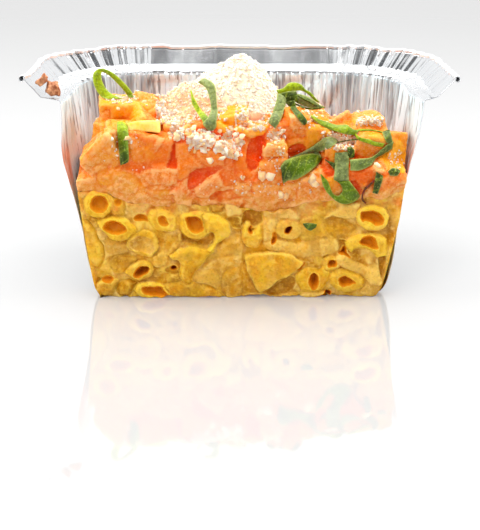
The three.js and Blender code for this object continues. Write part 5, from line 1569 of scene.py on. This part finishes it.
def strip(finish, depths, sections, thickness, tree, seed):
    """A strip of leaf as a thin closed slab with wavy edges, laid on the food or standing free before it."""
    ends = smooth_path(knots_of(sections, 4), LEAF_STEPS)
    one, other = ends[:, :2], ends[:, 2:]
    t = np.linspace(0, 1, LEAF_STEPS)
    u = np.linspace(-1, 1, LEAF_COLUMNS)
    flat = one[:, None] + (other - one)[:, None] * ((1 + u) / 2)[:, None]
    hits = [from_front(tree, x, z) for x, z in flat.reshape(-1, 2).tolist()]
    y = np.array([BEHIND if hit is None else hit[0][1] for hit in hits]).reshape(LEAF_STEPS, LEAF_COLUMNS)
    for _ in range(2):
        ahead = np.pad(y, 1, mode="edge")
        y = np.min([ahead[i : i + LEAF_STEPS, j : j + LEAF_COLUMNS] for i, j in np.ndindex(3, 3)], axis=0)
    y = blurred(y, 3) - thickness / 2 - 0.15
    if depths is not None:
        y = np.minimum(y, (depths[0] + (depths[1] - depths[0]) * t)[:, None])
    along = np.stack(np.broadcast_arrays(5 * t[:, None], 1.2 * u, seed), axis=-1)
    wave = noise(along.reshape(-1, 3), 1.4, seed).reshape(y.shape)
    middle = on_sight_line(flat[..., 0], flat[..., 1], y)
    width = np.linalg.norm(other - one, axis=1)[:, None]
    normal = unit(np.cross(np.gradient(middle, axis=0), np.gradient(middle, axis=1)))
    normal *= -np.sign(normal[..., 1:2].sum())
    lift = 0.12 * width * (1 - u**2) + 0.1 * width * wave * (0.4 + 0.6 * np.abs(u))
    middle = middle + normal * lift[..., None]
    half = thickness / 2 * np.sqrt(np.clip(1.02 - u**2, 0.05, 1))
    raised = normal * half[:, None]
    loop = np.concatenate([middle + raised, (middle - raised)[:, ::-1]], axis=1)
    caps = middle.mean(axis=1)[:, None] + 0 * loop
    points = np.concatenate([caps[:1], loop, caps[-1:]])
    under, start, end, light_edge = LEAF_FINISHES[finish]
    rows = LEAF_STEPS + 2
    both = np.concatenate([u, u[::-1]])
    front = np.repeat([under, 1 - under], LEAF_COLUMNS)
    grid = lambda numbers: np.concatenate([numbers[:1], numbers, numbers[-1:]]).ravel()
    along = np.concatenate([[0], np.cumsum(np.linalg.norm(np.diff(flat[:, 5], axis=0), axis=1))])
    bright = (start + (end - start) * t)[:, None] + 0.25 * np.concatenate([wave, wave[:, ::-1]], axis=1)
    values = {
        "under": np.tile(front, rows),
        "bright": np.clip(grid(bright), 0, 1),
        "rim": light_edge * np.tile(np.clip((np.abs(both) - 0.7) / 0.3, 0, 1), rows),
        "across": grid(width / 2 * both),
        "along": grid(along[:, None] + 0 * both),
    }
    return points.reshape(-1, 3), grid_faces(rows, 2 * LEAF_COLUMNS, closed=True), values


def build_basil(settings):
    """One piece for each ribbon, and the thin stem of one of them."""
    leaf, stem = basil_material(settings), stem_material(settings)
    tree = food_tree(["diced_tomato", "macaroni_in_sauce"])
    for seed, (name, strips) in enumerate(BASIL.items()):
        thickness = mm(settings.thickness) * (2 if name == "basil_stem" else 1)
        parts = [strip(*spec, thickness, tree, 7 * seed + k) for k, spec in enumerate(strips)]
        made = new_mesh(name + "_leaf", *merged(parts))
        if name == "basil_stem":
            finish_piece(made, stem)
        else:
            finish_piece(made, leaf, [name])


def basil_material(settings):
    """Fresh basil leaf, cut with a knife: glossy green above, pale and matt below, with light in its cut
    edges."""
    material, tree, shader = new_material(
        "fresh_basil_leaf",
        Roughness=0.3,
        IOR=1.42,
        Specular_IOR_Level=0.35,
        Subsurface_Weight=0.08,
        Subsurface_Radius=(0.8, 1.0, 0.1),
        Subsurface_Scale=0.6 * MM,
    )
    upper = painted(tree, settings.upper_dark, settings.upper, "bright", high=0.5)
    upper = painted(tree, upper, settings.upper_bright, "bright", low=0.5)
    aslant = {0: mask(tree, "along"), 1: mask(tree, "across", 0.6)}
    aslant = add_node(tree, "Math", {"operation": "ADD"}, aslant)
    place = add_node(tree, "CombineXYZ", links={"X": aslant.outputs[0]})
    links = {"Vector": place.outputs[0], "Scale": 0.11, "Distortion": 1.2}
    ribs = add_node(tree, "TexWave", {"bands_direction": "X"}, links)
    veins = mask(tree, ribs.outputs["Fac"], low=0.86)
    upper = painted(tree, upper, settings.upper_bright, veins, 0.3)
    under = painted(tree, settings.under_dark, settings.under, "bright")
    colour = painted(tree, upper, under, "under")
    colour = painted(tree, colour, settings.upper_dark, speckle(tree, 0.8, 0.45, 0.65, 3.0), 0.5)
    colour = painted(tree, colour, settings.edge, speckle(tree, 0.5, 0.56, 0.68, 3.0), 0.3)
    colour = painted(tree, colour, settings.edge, "rim", 0.55)
    tree.links.new(colour, shader.inputs["Base Color"])
    bumped(tree, shader, veins, 0.08, 0.6)
    bumped(tree, shader, speckle(tree, 0.8, 0.2, 0.8, 3.0), 0.16, 0.8)
    return material


def stem_material(settings):
    """The stem of a leaf: thin, smooth and flushed with red."""
    material, tree, shader = new_material("basil_stem", Roughness=0.35, IOR=1.42)
    colour = painted(tree, settings.stem, settings.upper_dark, speckle(tree, 1.5))
    tree.links.new(colour, shader.inputs["Base Color"])
    bumped(tree, shader, speckle(tree, 0.4, 0.2, 0.8), 0.04, 0.5)
    return material


# ---------------------------------------------------------------- pepper and scraps
PEPPER = ((-24.6, 0.6, 45.6), (8.4, 4.0, 3.0), (-14, -2, 4))
SCRAPS = {
    "tomato_scrap_ledge": ((-47.9, 2.4, 55.2), (3.6, 2.6, 2.2), (10, 6, 20)),
    "tomato_scrap_rim": ((-50.9, 2.2, 57.2), (2.6, 2.0, 1.6), (0, -40, 10)),
}


def build_trimmings(settings):
    """The strip of yellow pepper and the two dried scraps of tomato on the foil."""
    draw = np.random.default_rng(31)
    centre, size, turn = PEPPER
    points, faces, values = die(centre, size, turn, 0.0, 0.3, draw, 0.1)
    bend = (points[:, 0] - centre[0]) / (size[0] / 2)
    points[:, 2] -= 0.5 * bend**2
    strip = new_mesh("yellow_pepper_strip", points, faces, values)
    finish_piece(strip, pepper_material(settings), ["yellow_pepper_piece"])

    material = scrap_material(settings)
    for name, (centre, size, turn) in SCRAPS.items():
        points, faces, values = die(centre, size, turn, 0.5, 0.0, draw, 0.25)
        points = points + 0.35 * np.stack([rough(points, 1.1, 2, 95 + k) for k in range(3)], axis=1)
        made = new_mesh(name + "_crumpled", points, faces, values)
        finish_piece(made, material, [name])


def pepper_material(settings):
    """Sweet pepper flesh: firm, wet and clear yellow, nearly white along its upper edge with a painted
    highlight.
    """
    material, tree, shader = new_material(
        "yellow_pepper_flesh",
        Roughness=0.22,
        IOR=1.38,
        Subsurface_Weight=0.5,
        Subsurface_Radius=(1.0, 0.7, 0.15),
        Subsurface_Scale=2.5 * MM,
        Coat_Weight=0.3,
    )
    colour = painted(tree, settings.pepper, settings.pepper_pale, speckle(tree, 2.4))
    # Painted highlight along the edges of the strip.
    colour = painted(tree, colour, settings.pepper_pale, "edge", 0.6)
    tree.links.new(colour, shader.inputs["Base Color"])
    bumped(tree, shader, speckle(tree, 0.8, 0.2, 0.8), 0.1, 0.6)
    return material


def scrap_material(settings):
    """Tomato baked dry on the rim: leathery, dark in its folds."""
    material, tree, shader = new_material("dried_tomato", Roughness=0.6, IOR=1.45)
    colour = painted(tree, settings.scrap, settings.scrap_light, speckle(tree, 1.0))
    tree.links.new(colour, shader.inputs["Base Color"])
    bumped(tree, shader, speckle(tree, 0.5, 0.2, 0.8, 3.0), 0.2, 0.8)
    return material


# ---------------------------------------------------------------- stage
DARK_SIDE = (0.0, -0.85, 0.53)  # where the room is unlit, behind and above the viewer
CAMERA_PITCH = 19.8  # degrees below the horizon
CAMERA_YAW = -0.31
LENS = 79.0


def build_camera():
    """The viewer's camera: a long lens a little above the tray."""
    data = bpy.data.cameras.new("viewer")
    data.lens, data.sensor_width, data.sensor_fit = LENS, 36.0, "HORIZONTAL"
    data.clip_start, data.clip_end = 0.01, 20
    made = bpy.data.objects.new("viewer", data)
    made.location = Vector(EYE + TO_ROW) * MM
    made.rotation_euler = (math.radians(90 - CAMERA_PITCH), 0, math.radians(CAMERA_YAW))
    bpy.context.collection.objects.link(made)
    bpy.context.scene.camera = made


def add_panel_light(name, place, size, power, in_gloss=True):
    """A square soft light that faces the food; place and size in millimetres."""
    data = bpy.data.lights.new(name, "AREA")
    data.shape, data.size, data.energy = "SQUARE", size * MM, power
    made = bpy.data.objects.new(name, data)
    made.location = Vector(place) * MM
    made.rotation_euler = (Vector((0, 0, 30)) - Vector(place)).to_track_quat("-Z", "Y").to_euler()
    made.visible_glossy = in_gloss
    bpy.context.collection.objects.link(made)


def build_stage(settings):
    """A white glossy table, a bright room that is greyer overhead and in front, and soft lights."""
    half = 3000.0
    corners = np.array([(-half, -half, 0), (half, -half, 0), (half, half, 0), (-half, half, 0)])
    table = new_mesh("white_table", corners - TO_ROW, np.array([[0, 1, 2, 3]]))
    table.data.materials.append(table_material(settings))

    room = bpy.data.worlds.new("bright_room")
    room.use_nodes = True
    bpy.context.scene.world = room
    tree = room.node_tree
    direction = add_node(tree, "TexCoord").outputs["Generated"]
    facing = add_node(tree, "VectorMath", {"operation": "DOT_PRODUCT"}, {0: direction, 1: DARK_SIDE})
    links = {"Value": facing.outputs["Value"], "From Min": 0.5, "From Max": 0.8}
    dark = add_node(tree, "MapRange", {"interpolation_type": "SMOOTHSTEP"}, links)
    shade = painted(tree, settings.room_back, settings.room_front, dark.outputs[0])
    tree.links.new(shade, tree.nodes["Background"].inputs["Color"])
    tree.nodes["Background"].inputs["Strength"].default_value = settings.room_strength

    add_panel_light("overhead", (0, 250, 600), 480, settings.overhead)
    add_panel_light("softbox", (0, -120, 560), 420, settings.softbox, in_gloss=False)
    add_panel_light("key", (-300, -420, 400), 240, settings.key)
    add_panel_light("left_side", (-420, 40, 260), 260, settings.sides, in_gloss=False)
    add_panel_light("right_side", (420, 40, 260), 260, settings.sides, in_gloss=False)
    add_panel_light("fill", (200, -560, 160), 420, settings.fill, in_gloss=False)
    bpy.context.scene.view_settings.view_transform = "Standard"
    build_camera()


def table_material(settings):
    """White lacquered board: overlit to plain white, with a faint mirror image in its gloss."""
    material, tree, shader = new_material(
        "white_lacquered_board",
        Base_Color=settings.table[:],
        Roughness=0.04,
        IOR=2.4,
        Emission_Color=(1, 1, 1, 1),
        Emission_Strength=settings.table_glow,
    )
    bumped(tree, shader, speckle(tree, 60.0, 0.3, 0.7), 0.05, 0.2)
    return material


# ---------------------------------------------------------------- settings
def length(label, about, default):
    """A length property; the default is in millimetres."""
    metres = default * MM
    return FloatProperty(name=label, description=about, default=metres, min=0, unit="LENGTH", precision=5)


def colour(label, about, text):
    """A colour property; the default is sRGB hex."""
    return FloatVectorProperty(
        name=label, description=about, subtype="COLOR", size=4, min=0, max=1, default=linear(text)
    )


def amount(label, about, default):
    """A plain number property."""
    return FloatProperty(name=label, description=about, default=default, min=0)


class FoilSettings(bpy.types.PropertyGroup):
    thickness: length("Sheet", "Thickness of the foil", 0.2)
    crinkle: length("Crinkle", "Depth of the dents in the wall", 0.3)
    metal: colour("Metal", "Colour of clean foil", "#EEF0F2")
    # Painted cool cast: the matt side is tinted to cancel the warm light that the food throws on it.
    inside: colour(
        "Inside", "The sheet's matt side, whose cool tone answers the warm light off the food", "#DCF3FA"
    )
    # Painted shade: the grey laid in the pleats' folds, along fine upright crinkles and on facets of the back
    # wall.
    crease: colour("Crease", "Grey of the fine folds in the wall", "#74797E")
    # Painted reflection: the orange laid on the side walls near the cut stands in for the food reflected
    # there.
    juice: colour("Juice", "Tomato juice dried on the foil", "#E67E34")


class PastaSettings(bpy.types.PropertyGroup):
    skin: colour("Pasta", "Outside of a macaroni", "#E89200")
    skin_pale: colour("Pale pasta", "Lighter patches of its skin", "#FFC81E")
    # Painted highlight: used on the lips of mouths, on the crests and edges of the pasta and for fine glints.
    lip: colour("Cut pasta", "Edge of a mouth at the cut", "#FFD444")
    bore_mouth: colour("Bore", "Inside a macaroni near its mouth", "#EC9818")
    # Painted shade inside the bores and gaps.
    bore_shade: colour("Deep bore", "Deep inside a macaroni or a gap", "#CE6604")
    bore_dark: colour("Darkest bore", "Where no light comes into a hole", "#7A2A08")
    # Browned sauce in patches, and painted shade in the creases, on shaded and sunken pieces and towards the
    # foot.
    toasted: colour("Toasted", "Browned sauce in the creases", "#A66200")
    sauce: colour("Sauce", "Creamy cheese sauce", "#F0AC2C")
    sauce_warm: colour("Warm sauce", "Sauce that the pasta has coloured", "#E09A1C")
    # Milky patches of sauce, and the painted highlight on the sauce's crests.
    milky: colour("Milky sauce", "Crests of the sauce", "#FFD97C")
    juice: colour("Juice", "Sauce that the tomato has coloured", "#F08C38")


class TomatoSettings(bpy.types.PropertyGroup):
    die: length("Die", "Edge of a tomato die", 8.6)
    cell: length("Cell", "How finely the mass is modelled", 0.43)
    amber: colour("Amber", "Yellowest dice", "#F8A60C")
    flesh: colour("Flesh", "Common colour of the flesh", "#F27206")
    # Reddest dice, and painted shade in the gaps between dice.
    deep: colour("Deep", "Reddest dice and the gaps", "#EC4600")
    pale: colour("Pale", "Cut faces", "#F2842A")
    # Pale grain of the flesh, painted highlights on crests and edges, and painted glints.
    pale_bright: colour("Bright pale", "Edges and grains in the flesh", "#FFC27E")
    mush: colour("Mush", "Flesh that has run into the sauce below", "#E99C3C")


class CheeseSettings(bpy.types.PropertyGroup):
    grain: length("Grain", "Usual size of a grating", 0.46)
    gratings: IntProperty(name="Gratings", description="Loose gratings on the heap", default=7000, min=0)
    scattered: IntProperty(name="Scattered", description="Grains behind the heap", default=420, min=0)
    white: colour("White", "Dry cheese in the light", "#FDF0D8")
    cream: colour("Cream", "Cheese in shade", "#FFE6BE")
    # Painted glow: the cheese gives off this much cream light of its own.
    glow: amount("Glow", "Light that the loose heap scatters back out of its depth", 0.1)
    soaked: colour("Soaked", "Crumbs that have taken up tomato juice", "#F5A866")


class BasilSettings(bpy.types.PropertyGroup):
    thickness: length("Leaf", "Thickness of a leaf", 0.32)
    upper_dark: colour("Dark upper", "Upper side in shade", "#2E3C06")
    upper: colour("Upper", "Upper side of the leaf", "#5F7E0C")
    upper_bright: colour("Bright upper", "Upper side where light passes through", "#A8BC14")
    under: colour("Under", "Underside of the leaf", "#A4AF74")
    under_dark: colour("Dark under", "Underside in shade", "#505C2A")
    edge: colour("Edge", "Cut edges", "#D4E27A")
    stem: colour("Stem", "Flushed stem of a leaf", "#8A2A26")


class TrimmingSettings(bpy.types.PropertyGroup):
    pepper: colour("Pepper", "Yellow pepper flesh", "#FFCE3C")
    pepper_pale: colour("Pale pepper", "Its lit edge", "#FFE88A")
    scrap: colour("Scrap", "Dried tomato", "#94502C")
    scrap_light: colour("Light scrap", "Its raised folds", "#DA9C70")


class StageSettings(bpy.types.PropertyGroup):
    room_strength: amount("Room", "Brightness of the room", 0.92)
    room_front: colour("Room in front", "Unlit walls behind the viewer", "#34373B")
    room_back: colour("Room behind", "Lit walls", "#FFFFFF")
    overhead: amount("Overhead", "Power of the overhead light in watts", 1.3)
    softbox: amount("Softbox", "Power of the light over the viewer in watts", 2.4)
    key: amount("Key", "Power of the key light in watts", 1.0)
    sides: amount("Sides", "Power of the lights that cross the tray in watts", 1.7)
    fill: amount("Fill", "Power of the fill light in watts", 0.7)
    table: colour("Table", "Colour of the table", "#ACACAC")
    table_glow: amount("Table glow", "Extra light that keeps the table white", 0.12)


# ---------------------------------------------------------------- operators
class MACARONI_OT_foil(bpy.types.Operator):
    """Build the foil tray"""

    bl_idname = "macaroni.foil"
    bl_label = "Foil tray"

    def execute(self, context):
        build_foil(context.scene.macaroni_foil)
        return {"FINISHED"}


class MACARONI_OT_pasta(bpy.types.Operator):
    """Build the macaroni and the cheese sauce round them"""

    bl_idname = "macaroni.pasta"
    bl_label = "Macaroni in sauce"

    def execute(self, context):
        build_pasta(context.scene.macaroni_pasta)
        return {"FINISHED"}


class MACARONI_OT_tomato(bpy.types.Operator):
    """Build the diced tomato and its pulp"""

    bl_idname = "macaroni.tomato"
    bl_label = "Tomato"

    def execute(self, context):
        build_tomato(context.scene.macaroni_tomato)
        return {"FINISHED"}


class MACARONI_OT_cheese(bpy.types.Operator):
    """Build the heap of grated cheese and the grains on the tomato"""

    bl_idname = "macaroni.cheese"
    bl_label = "Grated cheese"

    def execute(self, context):
        build_cheese(context.scene.macaroni_cheese)
        build_sprinkles(context.scene.macaroni_cheese)
        return {"FINISHED"}


class MACARONI_OT_basil(bpy.types.Operator):
    """Build the ribbons of basil"""

    bl_idname = "macaroni.basil"
    bl_label = "Basil"

    def execute(self, context):
        build_basil(context.scene.macaroni_basil)
        return {"FINISHED"}


class MACARONI_OT_trimmings(bpy.types.Operator):
    """Build the pepper strip and the dried scraps"""

    bl_idname = "macaroni.trimmings"
    bl_label = "Trimmings"

    def execute(self, context):
        build_trimmings(context.scene.macaroni_trimmings)
        return {"FINISHED"}


class MACARONI_OT_stage(bpy.types.Operator):
    """Build the table, the lights and the camera"""

    bl_idname = "macaroni.stage"
    bl_label = "Stage"

    def execute(self, context):
        build_stage(context.scene.macaroni_stage)
        return {"FINISHED"}


OPERATORS = [
    MACARONI_OT_foil,
    MACARONI_OT_pasta,
    MACARONI_OT_tomato,
    MACARONI_OT_cheese,
    MACARONI_OT_basil,
    MACARONI_OT_trimmings,
    MACARONI_OT_stage,
]
SETTINGS = {
    "macaroni_foil": FoilSettings,
    "macaroni_pasta": PastaSettings,
    "macaroni_tomato": TomatoSettings,
    "macaroni_cheese": CheeseSettings,
    "macaroni_basil": BasilSettings,
    "macaroni_trimmings": TrimmingSettings,
    "macaroni_stage": StageSettings,
}


class MACARONI_PT_panel(bpy.types.Panel):
    """Lists the pieces and their settings"""

    bl_idname = "MACARONI_PT_panel"
    bl_label = "Macaroni Cheese"
    bl_space_type = "VIEW_3D"
    bl_region_type = "UI"
    bl_category = "Macaroni"

    def draw(self, context):
        for operator, name in zip(OPERATORS, SETTINGS):
            box = self.layout.box()
            box.operator(operator.bl_idname)
            settings = getattr(context.scene, name)
            for key in settings.__annotations__:
                box.prop(settings, key)


def register():
    for kind in (*SETTINGS.values(), *OPERATORS, MACARONI_PT_panel):
        bpy.utils.register_class(kind)
    for name, kind in SETTINGS.items():
        setattr(bpy.types.Scene, name, PointerProperty(type=kind))


def unregister():
    for name in SETTINGS:
        delattr(bpy.types.Scene, name)
    for kind in (MACARONI_PT_panel, *reversed(OPERATORS), *SETTINGS.values()):
        bpy.utils.unregister_class(kind)


def main():
    register()
    bpy.ops.macaroni.foil()
    bpy.ops.macaroni.pasta()
    bpy.ops.macaroni.tomato()
    bpy.ops.macaroni.cheese()
    bpy.ops.macaroni.basil()
    bpy.ops.macaroni.trimmings()
    bpy.ops.macaroni.stage()


if __name__ == "__main__":
    main()
